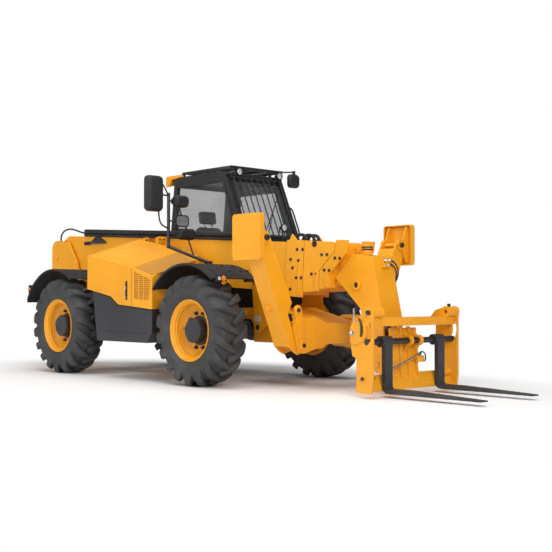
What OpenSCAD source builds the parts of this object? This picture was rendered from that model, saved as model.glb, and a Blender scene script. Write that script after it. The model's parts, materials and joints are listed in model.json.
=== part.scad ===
// Telehandler with a four-section telescopic boom, pallet forks and folding front stabilisers.
// Millimetres. +X is forward, +Y is the driver's left, +Z is up.
// The modules are drawn from the front axle's ground point, and placed() moves them so that
// the origin lies on the ground in the middle of the whole machine.

/* [Wheels and axles] */
// Distance between the axles
wheelbase = 2750; // [2600:10:3000]
// Distance between the tyre centres of one axle
track = 1890; // [1850:10:1960]
// Tyre diameter out to the tips of the lugs
tyre_d = 1220; // [1180:5:1240]
// Tyre width over the lugs
tyre_w = 400; // [370:5:420]
// Height of the tread lugs
lug_h = 46; // [35:1:50]
// Diameter over the rim flanges
rim_d = 680; // [640:5:700]
// Diameter of the planetary hub that stands out of the wheel disc
hub_d = 270; // [200:5:280]
// Distance from the tyre centre in to the kingpin
kingpin_inset = 255; // [245:5:270]
// Diameter of the axle tube
axle_tube_d = 190; // [150:5:200]

/* [Chassis] */
// Thickness of the two frame side plates
frame_plate = 25; // [20:1:30]
// Underside of the frame between the axles
belly_z = 470; // [440:5:500]
// Top edge of the frame side plates between the axles
frame_top_z = 840; // [820:5:845]
// Width of the stabiliser beam across the front
beam_w = 800; // [760:10:820]

/* [Boom] */
// Sideways offset of the boom from the machine's centre line
boom_y = -50; // [-60:1:-45]
// Height of the boom's rear pivot
pivot_z = 1575; // [1550:5:1600]
// Distance of the boom's rear pivot behind the rear axle
pivot_back = 1400; // [1350:10:1450]
// Nose-down angle of the lowered boom
boom_droop = 3.5; // [3:0.1:4]
// Width of the outer boom tube
boom_w = 380; // [370:1:390]
// Height of the outer boom tube
boom_h = 550; // [540:2:560]
// Wall of the boom tubes
boom_wall = 10; // [8:1:12]
// Side gap between one boom tube and the next
boom_gap_y = 20; // [18:0.5:22]
// Gap above and below between one boom tube and the next
boom_gap_z = 25; // [22:1:28]
// Diameter of the boom's rear pivot pin
pivot_pin_d = 90; // [70:2:100]

/* [Carriage and forks] */
// Width of the fork carriage over its end plates
carriage_w = 1380; // [1340:10:1420]
// Distance between the two forks, centre to centre
fork_spread = 820; // [760:10:880]
// Length of a fork blade from its shank
fork_len = 1100; // [1000:10:1200]
// Width of a fork
fork_w = 110; // [90:5:120]
// Thickness of a fork
fork_t = 45; // [40:1:50]
// Diameter of the shaft that the forks hang on
shaft_d = 60; // [50:2:64]
// Clear height under the fork blades
fork_clear = 40; // [30:5:60]

/* [Stabilisers] */
// Distance from the leg's pivot to the foot's pin
leg_len = 1215; // [1195:5:1235]
// Angle of the folded leg above the horizontal
leg_angle = 65.5; // [64:0.5:67]
// Depth of the leg along the machine
leg_depth = 230; // [210:5:240]
// Side of the square foot sole across the machine's length
foot_len = 420; // [400:5:440]
// Height of the foot sole when the leg is folded
foot_h = 470; // [440:5:490]

/* [Cab] */
// Height of the roof panel's top
roof_z = 2560; // [2530:5:2590]
// Inner face of the cab's right wall from the centre line
cab_right_y = 175; // [172:1:185]
// Thickness of the cab's walls and door
cab_wall = 50; // [46:1:56]
// Thickness of the window glass
glass_t = 6; // [5:0.5:8]

/* [Engine pod] */
// Outer face of the engine pod from the centre line
pod_y = -1120; // [-1135:1:-1110]
// Sheet thickness of the engine cover
cover_t = 12; // [10:1:16]
// Sheet thickness of the mudguards
guard_t = 12; // [10:1:14]

/* [Hidden] */
$fn = 48;

yellow = [0.96, 0.62, 0.05];
black = [0.06, 0.06, 0.065];
grey = [0.20, 0.20, 0.21];
rubber = [0.12, 0.12, 0.12];
steel = [0.62, 0.62, 0.64];
glass = [0.55, 0.60, 0.62, 0.5];

// Clearances
run_gap = 0.05;      // between a shaft and its bore
seat_gap = 0.3;      // between a piece and the seat that holds it
side_gap = 6;        // beside a lug, a leg or a fork that swings or slides

// Axle frame
tyre_r = tyre_d / 2;
axle_z = tyre_r;
half_track = track / 2;
rim_r = rim_d / 2;
kingpin_y = half_track - kingpin_inset;
front_x = 0;
rear_x = -wheelbase;

// Mudguards: the arc stands clear of the steered tyre
guard_r = tyre_r + 155;
guard_z = axle_z - 30;
guard_top = guard_z + guard_r;
guard_in = 505;
guard_out = half_track + tyre_w / 2 - 10;
guard_x = [front_x - 60, rear_x - 80];
guard_lip = 30;
guard_arc = [[51, 140], [56, 150]];

// Chassis
frame_half = boom_w / 2 + side_gap + 19;
frame_in_r = boom_y - frame_half;
frame_in_l = boom_y + frame_half;
frame_out_r = frame_in_r - frame_plate;
frame_out_l = frame_in_l + frame_plate;
pivot_x = rear_x - pivot_back;
tail_x = pivot_x - 150;
beam_front = 1190;
beam_back = 880;
beam_top = 760;
beam_low = 430;

// Boom: each tube as [half width, half height]; the lengths run from the rear pivot
boom_mid = 25;
tube_half = [for (i = [0:3]) [
  boom_w / 2 - i * (boom_wall + boom_gap_y),
  boom_h / 2 - i * (boom_wall + boom_gap_z)
]];
hinge_x = 1930;
hinge_z = 300;
reach = hinge_x - pivot_x;
collar_gap = 10;
collar_out = tube_half[0][0] + 22;
pad_gap = 0.5;               // between a wear pad and the tube that slides on it

// Nose and carriage
hinge_pin_d = 70;
tilt_pin = [1640, 1100];
tilt_eye = [1985, 500];
tilt_pin_d = 60;
nose_half = 150;
nose_plate = 22;
shaft_x = 2190;
shaft_z = 540;
fork_face_x = shaft_x + shaft_d / 2 + 25;
fork_tip_x = fork_face_x + fork_len;

// Stabilisers
leg_pivot = [547, 468];
leg_ram = [620, 690];
leg_pin_d = 60;
foot_pin_d = 50;
leg_mid_x = 1050;
leg_x0 = leg_mid_x - leg_depth / 2;
leg_x1 = leg_mid_x + leg_depth / 2;
bracket_plate = 22;
foot_plate = 16;

// Whole machine: its rear is the tail of the frame, its front the fork tips
mid_x = (fork_tip_x + tail_x) / 2;

// Shapes drawn in a plane and given a thickness
module xz_plate(points, y0, y1) {
  translate([0, y1, 0]) rotate([90, 0, 0]) linear_extrude(y1 - y0) polygon(points);
}
module yz_plate(points, x0, x1) {
  translate([x0, 0, 0]) rotate([90, 0, 90]) linear_extrude(x1 - x0) polygon(points);
}
module block(low, high) {
  translate(low) cube(high - low);
}
module y_cyl(d, x, z, y0, y1) {
  translate([x, y1, z]) rotate([90, 0, 0]) cylinder(d = d, h = y1 - y0);
}
module x_cyl(d, y, z, x0, x1) {
  translate([x0, y, z]) rotate([0, 90, 0]) cylinder(d = d, h = x1 - x0);
}
module both_sides() {
  children();
  mirror([0, 1, 0]) children();
}
module placed() {
  translate([-mid_x, 0, 0]) children();
}
// Boom frame: its origin is the rear pivot, its X axis runs along the lowered boom
module in_boom() {
  translate([pivot_x, boom_y, pivot_z]) rotate([0, boom_droop, 0]) children();
}
// Point of the boom frame given in the XZ plane of the machine
function bw(u, w) = [
  pivot_x + u * cos(boom_droop) + w * sin(boom_droop),
  pivot_z - u * sin(boom_droop) + w * cos(boom_droop)
];
// A straight round bar between two points in space
module bar(d, a, b) {
  run = b - a;
  flat = norm([run[0], run[1]]);
  translate(a) rotate([0, atan2(flat, run[2]), atan2(run[1], run[0])]) cylinder(d = d, h = norm(run));
}

// Polygon moved inwards by t on every edge; the points run anticlockwise
function unit(v) = v / norm(v);
function inward(a, b) = let (d = unit(b - a)) [-d[1], d[0]];
function inset(p, t) = let (n = len(p)) [
  for (i = [0:n - 1])
    let (a = inward(p[(i + n - 1) % n], p[i]), b = inward(p[i], p[(i + 1) % n]))
    p[i] + (a + b) * t / (1 + a * b)
];
// Points along an arc
function arc_points(c, r, a0, a1, n) = [
  for (i = [0:n]) let (a = a0 + (a1 - a0) * i / n) c + r * [cos(a), sin(a)]
];

// Frame: two side plates that rise into the boom's towers at the rear
axle_clear = 150;
// The top edge rises over the axles
hump_z = max(frame_top_z, axle_z + axle_clear + 80) + 10;
hump_run = axle_clear + 150;
tower_r = 130;
tower_z = pivot_z + 225;
frame_profile = [
  [tail_x, 1000], [pivot_x + 40, 620], [rear_x - 620, belly_z], [beam_front - 310, belly_z],
  [beam_front - 250, beam_low + 60], [beam_front - 250, beam_top], [700, beam_top], [560, hump_z],
  [front_x - hump_run, hump_z], [front_x - hump_run - 100, frame_top_z],
  [rear_x + hump_run + 100, frame_top_z],
  [rear_x + hump_run, hump_z], [rear_x - 500, hump_z], [rear_x - 700, 1000],
  [rear_x - 880, tower_z - 320],
  [pivot_x + 300, tower_z - 40], [pivot_x + 60, tower_z],
  each arc_points([tail_x + tower_r, tower_z - tower_r], tower_r, 90, 180, 4)
];
saddle_w = 220;
saddle_y = 65;
saddle_z = axle_z + axle_tube_d / 2 + 20;
outrigger_x = [rear_x + tyre_r + 360, front_x - tyre_r - 350];
outrigger_w = 60;
outrigger_end = 1030;
cab_floor_z = frame_top_z + 10;

module side_plate(y0) difference() {
  xz_plate(frame_profile, y0, y0 + frame_plate);
  for (x = [front_x, rear_x]) {
    y_cyl(2 * axle_clear, x, axle_z, y0 - 1, y0 + frame_plate + 1);
    block([x - axle_clear, y0 - 1, 0], [x + axle_clear, y0 + frame_plate + 1, axle_z]);
  }
  y_cyl(pivot_pin_d, pivot_x, pivot_z, y0 - 1, y0 + frame_plate + 1);
}
module chassis_frame() color(yellow) {
  side_plate(frame_out_r);
  side_plate(frame_in_l);
  // belly plate, cross walls and axle saddles between the side plates
  block([rear_x + 500, frame_in_r, belly_z], [front_x - 500, frame_in_l, belly_z + 15]);
  block([front_x - 700, frame_in_r, belly_z], [front_x - 680, frame_in_l, frame_top_z]);
  block([front_x + 560, frame_in_r, belly_z], [front_x + 580, frame_in_l, frame_top_z - 20]);
  block([tail_x + 60, frame_in_r, 860], [tail_x + 85, frame_in_l, 1060]);
  tow_hitch();
  for (x = [front_x, rear_x], y = [frame_in_r, frame_in_l - saddle_y])
    block([x - saddle_w / 2, y, saddle_z], [x + saddle_w / 2, y + saddle_y, hump_z - 20]);
  // outriggers that carry the pod and the cab
  for (x = outrigger_x) {
    block([x, frame_out_l, cab_floor_z - 70], [x + outrigger_w, outrigger_end, cab_floor_z]);
    block([x, -outrigger_end, cab_floor_z - 70], [x + outrigger_w, frame_out_r, cab_floor_z]);
  }
  cover_posts();
  front_cheeks();
  front_beam();
  lift_lugs();
}
// Tow hitch at the tail, with an upright bore for its pin
hitch_bore_d = 40;
module tow_hitch() difference() {
  block([tail_x + 5, boom_y - 90, 930], [tail_x + 61, boom_y + 90, 965]);
  translate([tail_x + 33, boom_y, 900]) cylinder(d = hitch_bore_d, h = 100);
}
// Tall plates beside the frame's front end that carry the mudguards
cheek_y = 395;
cheek_t = 16;
cheek_lug = [329, 640];
cheek_lug_r = 62;
cheek_bore = 48;
cheek_profile = [
  each arc_points(cheek_lug, cheek_lug_r, 190, 330, 6), [470, 650], [600, 700], [560, guard_top - 335],
  [470, guard_top - 165], [330, guard_top - 105], [230, guard_top - 165]
];
module front_cheeks() both_sides() {
  difference() {
    xz_plate(cheek_profile, cheek_y - cheek_t, cheek_y);
    y_cyl(cheek_bore, cheek_lug[0], cheek_lug[1], cheek_y - cheek_t - 1, cheek_y + 1);
  }
  block([300, 100, 690], [520, cheek_y - cheek_t, 730]);
}

// Lift ram: base pin on the frame, rod eye under the outer boom
lift_base = [rear_x - 1000, 700];
lift_eye = [rear_x + 550, 1075];
lift_pin_d = 70;
lift_barrel_d = 165;
lift_eye_w = 110;
lift_lug = 24;
lift_lug_y = lift_eye_w / 2 + side_gap;
module lift_lugs() {
  for (s = [-1, 1]) translate([0, boom_y + s * (lift_lug_y + lift_lug / 2), 0])
    xz_plate([
      lift_base + [-130, -130], lift_base + [130, -130], lift_base + [60, 60], lift_base + [-60, 60]
    ], -lift_lug / 2, lift_lug / 2);
  block([lift_base[0] - 160, frame_in_r, lift_base[1] - 140],
    [lift_base[0] + 160, frame_in_l, lift_base[1] - 115]);
  y_cyl(lift_pin_d - 2 * run_gap, lift_base[0], lift_base[1], boom_y - lift_lug_y - 1,
    boom_y + lift_lug_y + 1);
}

// Stabiliser beam: a box across the front with a pair of bracket plates at each end
beam_profile = [
  [-beam_w / 2, beam_low], [-260, beam_low], [-180, beam_low + 45], [180, beam_low + 45],
  [260, beam_low],
  [beam_w / 2, beam_low], [beam_w / 2, beam_top + 20], [330, beam_top], [170, beam_top - 70],
  [-170, beam_top - 70], [-330, beam_top], [-beam_w / 2, beam_top + 20]
];
bracket_profile = [
  [beam_w / 2 - 60, beam_low], [leg_pivot[0] - 20, beam_low - 45], [leg_pivot[0] + 60, beam_low - 30],
  [leg_ram[0] + 55, leg_ram[1] - 40], [leg_ram[0] + 50, leg_ram[1] + 50],
  [leg_ram[0] - 60, leg_ram[1] + 70],
  [beam_w / 2 - 60, beam_top]
];
tray_half = 290;
module front_beam() {
  difference() {
    yz_plate(beam_profile, beam_back, beam_front);
    block([beam_back - 10, -300, beam_low + 80], [beam_front - 30, 300, beam_top + 100]);
  }
  // tray that slopes up from the beam to the hump of the frame
  xz_plate([
    [beam_front - 20, beam_top - 74], [beam_front - 20, beam_top - 62], [545, hump_z + 6],
      [545, hump_z - 6]
  ], -tray_half, tray_half);
  both_sides() {
    for (x = [leg_x0 - side_gap - bracket_plate, leg_x1 + side_gap]) difference() {
      yz_plate(bracket_profile, x, x + bracket_plate);
      x_cyl(leg_pin_d, leg_pivot[0], leg_pivot[1], x - 1, x + bracket_plate + 1);
    }
    x_cyl(leg_pin_d - 2 * run_gap, leg_ram[0], leg_ram[1], leg_x0 - side_gap - 1,
      leg_x1 + side_gap + 1);
  }
}

// Counterweight blocks on the outer faces of the frame's tail
module counterweight() color(yellow) {
  weight = [[tail_x, 780], [tail_x + 60, 560], [tail_x + 400, 520], [tail_x + 420, 900],
    [tail_x + 240, 1080], [tail_x, 1120]];
  xz_plate(weight, frame_out_l, 480);
  xz_plate(weight, -480, frame_out_r);
}

// Axles, steering knuckles and wheels
yoke_gap = 220;
yoke_t = 40;
kingpin_d = 60;
spindle_d = 120;
disc_y = half_track - 20;
disc_t = 22;
spindle_end = disc_y + 90;
rim_w = 330;
bead_r = rim_r - 32;
module axle(x) color(grey) translate([x, 0, axle_z]) {
  y_cyl(axle_tube_d, 0, 0, -kingpin_y + 105, kingpin_y - 105);
  // differential case and the flat pads under the saddles
  translate([-160, boom_y, 0]) rotate([0, 90, 0]) cylinder(d = 280, h = 290);
  for (y = [frame_in_r, frame_in_l - saddle_y])
    block([-saddle_w / 2, y, 0], [saddle_w / 2, y + saddle_y, saddle_z - axle_z]);
  both_sides() difference() {
    union() {
      block([-85, kingpin_y - 125, -yoke_gap / 2 - yoke_t],
        [85, kingpin_y - 95, yoke_gap / 2 + yoke_t]);
      for (z = [-yoke_gap / 2 - yoke_t, yoke_gap / 2]) translate([0, kingpin_y, z]) {
        cylinder(d = 150, h = yoke_t);
        translate([-75, -110, 0]) cube([150, 110, yoke_t]);
      }
    }
    translate([0, kingpin_y, -300]) cylinder(d = kingpin_d, h = 600);
  }
}
module wheel_side(x, side) translate([x, 0, axle_z]) mirror([0, side > 0 ? 0 : 1, 0]) children();
module knuckle() color(grey) translate([0, kingpin_y, 0]) {
  translate([0, 0, -yoke_gap / 2 + seat_gap]) cylinder(d = 150, h = yoke_gap - 2 * seat_gap);
  translate([0, 0, -yoke_gap / 2 - yoke_t]) cylinder(d = kingpin_d - 2 * run_gap,
    h = yoke_gap + 2 * yoke_t);
  y_cyl(200, 0, 0, 0, disc_y - kingpin_y - side_gap);
  y_cyl(spindle_d - 2 * run_gap, 0, 0, 0, spindle_end - kingpin_y);
}
module rim() color(yellow) rotate([-90, 0, 0]) rotate_extrude($fn = 64) {
  // rim barrel with its flanges and two ridges, and the wheel disc
  a = half_track - rim_w / 2;
  b = half_track + rim_w / 2;
  in_r = bead_r - 12;
  difference() {
    polygon([
      [in_r, a], [rim_r, a], [rim_r, a + 12], [bead_r, a + 30], [bead_r, b - 30], [rim_r, b - 12],
      [rim_r, b], [rim_r - 14, b], [in_r, b - 34], [in_r, b - 58], [in_r - 8, b - 62],
      [in_r - 8, b - 74], [in_r, b - 78], [in_r, disc_y + 60], [in_r - 28, disc_y + 52],
      [in_r - 68, disc_y + disc_t], [0, disc_y + disc_t], [0, disc_y], [in_r - 83, disc_y],
      [in_r - 38, disc_y + 28], [in_r, disc_y + 34]
    ]);
    translate([0, disc_y - 1]) square([spindle_d / 2, disc_t + 2]);
  }
}
// Planetary hub on the wheel disc, over the end of the spindle
module hub() color(grey) rotate([-90, 0, 0]) rotate_extrude($fn = 64) {
  r = hub_d / 2;
  top = spindle_end + 50;
  difference() {
    polygon([
      [0, disc_y + disc_t], [r + 26, disc_y + disc_t], [r + 26, disc_y + disc_t + 16],
      [r, disc_y + disc_t + 20], [r, top - 12], [r - 12, top], [r - 60, top], [r - 64, top - 5],
      [0, top - 5]
    ]);
    square([spindle_d / 2, spindle_end + seat_gap]);
  }
}
// Tyre: one skin of rings round the axle. The plain rings have a point at every half pitch of the lugs;
// the lug rings have two there, one on each side of the step, and the lugs of the two sides alternate.
lug_count = 18;
lug_skew = 6;
stations = 2 * lug_count;
tyre_half = tyre_w / 2;
tyre_wall = 32;
bead_y = rim_w / 2 - 46;
bead_in_r = (bead_r + seat_gap) / cos(180 / stations);
// Each ring as [radius, distance from the tyre's middle], from the inside out to the foot of the lugs
plain_rings = [
  [tyre_r - lug_h - tyre_wall, tyre_half - 75], [bead_in_r, bead_y], [rim_r + 14, bead_y + 35],
  [tyre_r - 2.8 * lug_h, tyre_half]
];
// Each lug ring as [radius on a lug, distance there, radius in a gap, distance there, turn]
lug_rings = [
  [tyre_r - 1.3 * lug_h, tyre_half - 4, tyre_r - 2.1 * lug_h, tyre_half - 30, 2 * lug_skew],
  [tyre_r - 6, tyre_half - 60, tyre_r - lug_h - 4, tyre_half - 75, lug_skew],
  [tyre_r, 18, tyre_r - lug_h, 18, 0]
];
function round_axle(r, a, y) = [r * cos(a), half_track + y, r * sin(a)];
function plain_ring(ring, side) = [
  for (k = [0:stations - 1]) round_axle(ring[0], k * 180 / lug_count + 2 * lug_skew, side * ring[1])
];
// Points of the step at station k: the first closes sector k - 1, the second opens sector k
function lug_ring(ring, side) = [
  for (k = [0:stations - 1], after = [0, 1])
    let (high = (k + after + (side > 0 ? 0 : 1)) % 2)
    round_axle(high ? ring[0] : ring[2], k * 180 / lug_count + ring[4],
      side * (high ? ring[1] : ring[3]))
];
plain_count = len(plain_rings);
lug_rows = len(lug_rings);
half_points = plain_count * stations + lug_rows * 2 * stations;
tyre_points = [
  for (side = [1, -1]) each [
    for (ring = plain_rings) each plain_ring(ring, side),
    for (ring = lug_rings) each lug_ring(ring, side)
  ]
];
// Index of a point on side h (0 or 1), in a plain ring j, or in a lug ring j before or after the step
function at_plain(h, j, k) = h * half_points + j * stations + k % stations;
function at_lug(h, j, k, after) =
  h * half_points + plain_count * stations + j * 2 * stations + 2 * (k % stations) + after;
function facing(h, face) = h == 1 ? face : [for (i = [len(face) - 1:-1:0]) face[i]];
tyre_faces = [
  for (h = [0, 1], k = [0:stations - 1]) each [
    for (j = [0:plain_count - 2])
      facing(h, [at_plain(h, j, k), at_plain(h, j, k + 1), at_plain(h, j + 1, k + 1),
        at_plain(h, j + 1, k)]),
    // from the foot of the lugs to their first ring
    let (foot = plain_count - 1)
      facing(h, [at_plain(h, foot, k), at_plain(h, foot, k + 1), at_lug(h, 0, k + 1, 0),
        at_lug(h, 0, k, 1)]),
    facing(h, [at_plain(h, plain_count - 1, k), at_lug(h, 0, k, 1), at_lug(h, 0, k, 0)]),
    // top of a lug or floor of a gap, and the step at the station
    for (j = [0:lug_rows - 2]) each [
      facing(h, [at_lug(h, j, k, 1), at_lug(h, j, k + 1, 0), at_lug(h, j + 1, k + 1, 0),
        at_lug(h, j + 1, k, 1)]),
      facing(h, [at_lug(h, j, k, 0), at_lug(h, j, k, 1), at_lug(h, j + 1, k, 1),
        at_lug(h, j + 1, k, 0)])
    ]
  ],
  // across the middle of the tread, and across the inside
  for (k = [0:stations - 1], last = lug_rows - 1) each [
    [at_lug(1, last, k, 1), at_lug(1, last, k + 1, 0), at_lug(0, last, k + 1, 0), at_lug(0, last, k, 1)],
    [at_lug(1, last, k, 0), at_lug(1, last, k, 1), at_lug(0, last, k, 1), at_lug(0, last, k, 0)],
    [at_plain(1, 0, k + 1), at_plain(1, 0, k), at_plain(0, 0, k), at_plain(0, 0, k + 1)]
  ]
];
module tyre() color(rubber) polyhedron(tyre_points, tyre_faces);

// Mudguards: bands of sheet round the wheels
module arch_band(a0, a1, y0, y1, t) {
  far = 2 * guard_r;
  mid = (a0 + a1) / 2;
  translate([0, y1, 0]) rotate([90, 0, 0]) linear_extrude(y1 - y0) intersection() {
    difference() {
      circle(r = guard_r, $fn = 96);
      circle(r = guard_r - t, $fn = 96);
    }
    polygon([[0, 0], far * [cos(a0), sin(a0)], far * [cos(mid), sin(mid)], far * [cos(a1), sin(a1)]]);
  }
}
// Sheet with a thicker lip along its outer edge
module arch(x, a0, a1) translate([x, 0, guard_z]) {
  arch_band(a0, a1, guard_in, guard_out, guard_t);
  arch_band(a0, a1, guard_out - guard_lip, guard_out, 2 * guard_t);
}
stay_y = 415;
stand_pad = [-360, -540, guard_top + 6];
module front_mudguards() color(black) {
  both_sides() {
    arch(guard_x[0], guard_arc[0][0], guard_arc[0][1]);
    block([250, cheek_y, guard_top - 205], [320, guard_in + 30, guard_top - 165]);
    block([270, guard_in, guard_top - 205], [300, guard_in + 30, guard_top - 73]);
  }
  // flat pad for the mirror stand
  block(stand_pad - [45, 30, 90], stand_pad + [45, 30, 0]);
}
module rear_mudguards() color(black) {
  both_sides() rear_guard();
  block([guard_x[1] - 30, frame_out_l, frame_top_z - 60],
    [guard_x[1] + 30, stay_y - 1, frame_top_z - 20]);
  block([guard_x[1] - 30, -stay_y + 1, frame_top_z - 60],
    [guard_x[1] + 30, frame_out_r, frame_top_z - 20]);
}
module rear_guard() {
  arch(guard_x[1], guard_arc[1][0], guard_arc[1][1]);
  // stay that climbs inside the wheel's sweep, then reaches over to the sheet
  block([guard_x[1] - 30, stay_y - 20, frame_top_z - 60], [guard_x[1] + 30, stay_y, guard_top - 35]);
  block([guard_x[1] - 30, stay_y - 20, guard_top - 55],
    [guard_x[1] + 30, guard_in + 40, guard_top - 35]);
  block([guard_x[1] - 30, guard_in, guard_top - 55],
    [guard_x[1] + 30, guard_in + 40, guard_top - guard_t / 2]);
  // flap behind the wheel
  flap_x = guard_x[1] + guard_r * cos(guard_arc[1][1]);
  flap_z = guard_z + guard_r * sin(guard_arc[1][1]);
  block([flap_x, guard_in, flap_z - 55], [flap_x + guard_t, guard_out, flap_z]);
}

// Engine pod: its front corner is cut back for the turning wheel
pod_rear = rear_x + tyre_r + 120;
pod_front = front_x - tyre_r - 50;
pod_in = frame_out_r - 60;
cover_slope = 17;
seam_x = -1070;
pod_cut = [pod_front - 140, -790];
pod_low = [[pod_rear + 100, 1060], [pod_rear + 520, 985], [pod_rear + 675, 890], [pod_front, 835]];
crease = [[pod_rear, 1490], [seam_x, 1316], [pod_front, 1198]];
function pod_plan(t) = inset([
  [pod_rear, pod_y], [pod_front, pod_y], pod_cut, [pod_cut[0], pod_in], [pod_rear, pod_in]
], t);
function leant(p, t) = [p[0], p[1] * cos(cover_slope) - t];
// Solid under the sloping top: its top faces rise from the outer crease towards the boom
module cover_solid(t) intersection() {
  translate([0, 0, 700]) linear_extrude(1300) polygon(pod_plan(t));
  translate([0, pod_y, 0]) rotate([cover_slope, 0, 0]) xz_plate([
    [pod_rear - 50, 300], [pod_front + 50, 300], leant(crease[2] + [50, -14], t), leant(crease[2], t),
    leant(crease[1], t), leant(crease[0], t), leant(crease[0] + [-50, 9], t)
  ], -400, 1600);
}
// Hinge of the cover: posts on the frame carry its pins, beside the boom
cover_hinge = [frame_out_r - 28, crease[0][1] + 232];
cover_pin_d = 20;
cover_lug = 60;
cover_lug_x = [pod_rear + 95, pod_rear + 380];
// Height of the cover's inner edge
function cover_top(x) =
  crease[0][1] + (crease[1][1] - crease[0][1]) * (x - crease[0][0]) / (crease[1][0] - crease[0][0])
  + (pod_in - pod_y) * tan(cover_slope);
cover_post_x = [cover_lug_x[0] - cover_lug - side_gap, cover_lug_x[1] + cover_lug + side_gap];
module cover_posts() for (i = [0, 1]) {
  block([cover_post_x[i], frame_out_r, frame_top_z - 40],
    [cover_post_x[i] + cover_lug, frame_out_r + 20, cover_hinge[1] + 15]);
  block([cover_post_x[i], cover_hinge[0] - 15, cover_hinge[1] - 15],
    [cover_post_x[i] + cover_lug, frame_out_r + 1, cover_hinge[1] + 15]);
  x_cyl(cover_pin_d - 2 * run_gap, cover_hinge[0], cover_hinge[1],
    min(cover_post_x[i] + 10, cover_lug_x[i]),
    max(cover_post_x[i] + 10, cover_lug_x[i] + cover_lug));
}
// Flutes that run up the slope of the top, and the grille in the outer side
flute_count = 5;
flute_w = 36;
flute_pitch = 84;
flute_h = 9;
flute_x = pod_rear + 130;
flute_y = [110, 560];
flute_foot = crease[0][1] * sin(cover_slope);
function crease_line(x) =
  (crease[0][1] + (crease[1][1] - crease[0][1])
    * (x - crease[0][0]) / (crease[1][0] - crease[0][0])) * cos(cover_slope);
module flutes() translate([0, pod_y, 0]) rotate([cover_slope, 0, 0])
  for (i = [0:flute_count - 1]) let (x = flute_x + i * flute_pitch, e = x + flute_w)
    xz_plate([
      [x, crease_line(x) - cover_t / 2], [e, crease_line(e) - cover_t / 2],
      [e - flute_h, crease_line(e) + flute_h],
      [x + flute_h, crease_line(x) + flute_h]
    ], flute_foot + flute_y[0], flute_foot + flute_y[1]);
grille = [
  [seam_x + 45, pod_low[3][1] + 122], [pod_front - 75, pod_low[3][1] + 100],
  [pod_front - 30, crease[2][1] - 25],
  [seam_x + 45, crease[1][1] - 45]
];
slat = 9;
slat_pitch = 24;
module grille_slats() intersection() {
  xz_plate(inset(grille, -2), pod_y + 3, pod_y + cover_t - 2);
  union() {
    for (z = [grille[1][1]:slat_pitch:grille[3][1]])
      block([grille[0][0] - 5, pod_y, z], [grille[2][0] + 5, pod_y + 20, z + slat]);
    for (x = [grille[0][0] + 90, grille[0][0] + 190])
      block([x, pod_y, grille[1][1] - 5], [x + 12, pod_y + 20, grille[3][1] + 5]);
  }
}
module engine_cover() color(yellow) {
  flutes();
  grille_slats();
  difference() {
    cover_solid(0);
    cover_solid(cover_t);
    xz_plate(grille, pod_y - 1, pod_y + cover_t + 1);
    // open inner side, and the lower edge along the stepped line of the skirt
    block([pod_rear + cover_t, pod_in - cover_t - 1, 700],
      [pod_cut[0] - cover_t, pod_in + 1, crease[2][1] + 170]);
    xz_plate([
      [pod_rear - 50, 300], [pod_front + 50, 300], pod_low[3] + [50, -4], pod_low[3], pod_low[2],
      pod_low[1],
      pod_low[0], pod_low[0] + [-150, 23]
    ], pod_y - 50, pod_in + 50);
  }
  for (x = cover_lug_x) difference() {
    union() {
      x_cyl(cover_pin_d + 24, cover_hinge[0], cover_hinge[1], x, x + cover_lug);
      block([x, pod_in - 14, cover_top(x + cover_lug) - 15],
        [x + cover_lug, pod_in - 4, cover_hinge[1] + 8]);
      block([x, pod_in - 14, cover_hinge[1] - 8], [x + cover_lug, cover_hinge[0], cover_hinge[1] + 8]);
    }
    x_cyl(cover_pin_d, cover_hinge[0], cover_hinge[1], x - 1, x + cover_lug + 1);
  }
}
skirt_in = 16;
module engine_skirt() color(grey) {
  outline = [
    [pod_rear + 220, belly_z - 20], [pod_front - 110, belly_z - 20], [pod_front - 10, belly_z + 90],
    pod_low[3] + [0, -side_gap], pod_low[2] + [0, -side_gap], pod_low[1] + [0, -side_gap],
      pod_low[0] + [20, -side_gap]
  ];
  difference() {
    intersection() {
      xz_plate(outline, pod_y + 4, pod_in);
      translate([0, 0, 300]) linear_extrude(1000) polygon(pod_plan(4));
    }
    intersection() {
      xz_plate([for (p = inset(outline, skirt_in)) p[1] > 700 ? [p[0], p[1] + 300] : p],
        pod_y + 4 + skirt_in, pod_in - skirt_in);
      translate([0, 0, 300]) linear_extrude(1300) polygon(pod_plan(4 + skirt_in));
    }
    for (x = outrigger_x)
      block([x, -outrigger_end, cab_floor_z - 70], [x + outrigger_w, pod_in + 5, cab_floor_z]);
  }
}
module engine_block() color(grey)
  block([outrigger_x[0] - 10, pod_y + 140, cab_floor_z],
    [outrigger_x[1] + outrigger_w, pod_in - 70, 1240]);

// Tank and steps under the cab
tank_x = [rear_x + tyre_r + 290, front_x - tyre_r - 290];
tank_y = 1080;
module side_tank() color(grey) {
  xz_plate([
    [tank_x[0] + 70, belly_z + 10], [tank_x[1] - 40, belly_z + 10], [tank_x[1], belly_z + 50],
    [tank_x[1], cab_floor_z - 70], [tank_x[0], cab_floor_z - 70], [tank_x[0], belly_z + 80]
  ], frame_out_l + 60, tank_y);
  for (z = [belly_z + 30, belly_z + 190]) step_tread(z);
}
// Step: a tread on two side cheeks
module step_tread(z) {
  x0 = tank_x[0] + 350;
  x1 = tank_x[1] - 200;
  block([x0, tank_y, z], [x1, tank_y + 48, z + 12]);
  for (x = [x0, x1 - 12]) xz_plate([[x, z], [x + 12, z], [x + 12, z + 60], [x, z + 60]], tank_y,
    tank_y + 48);
}

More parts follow.
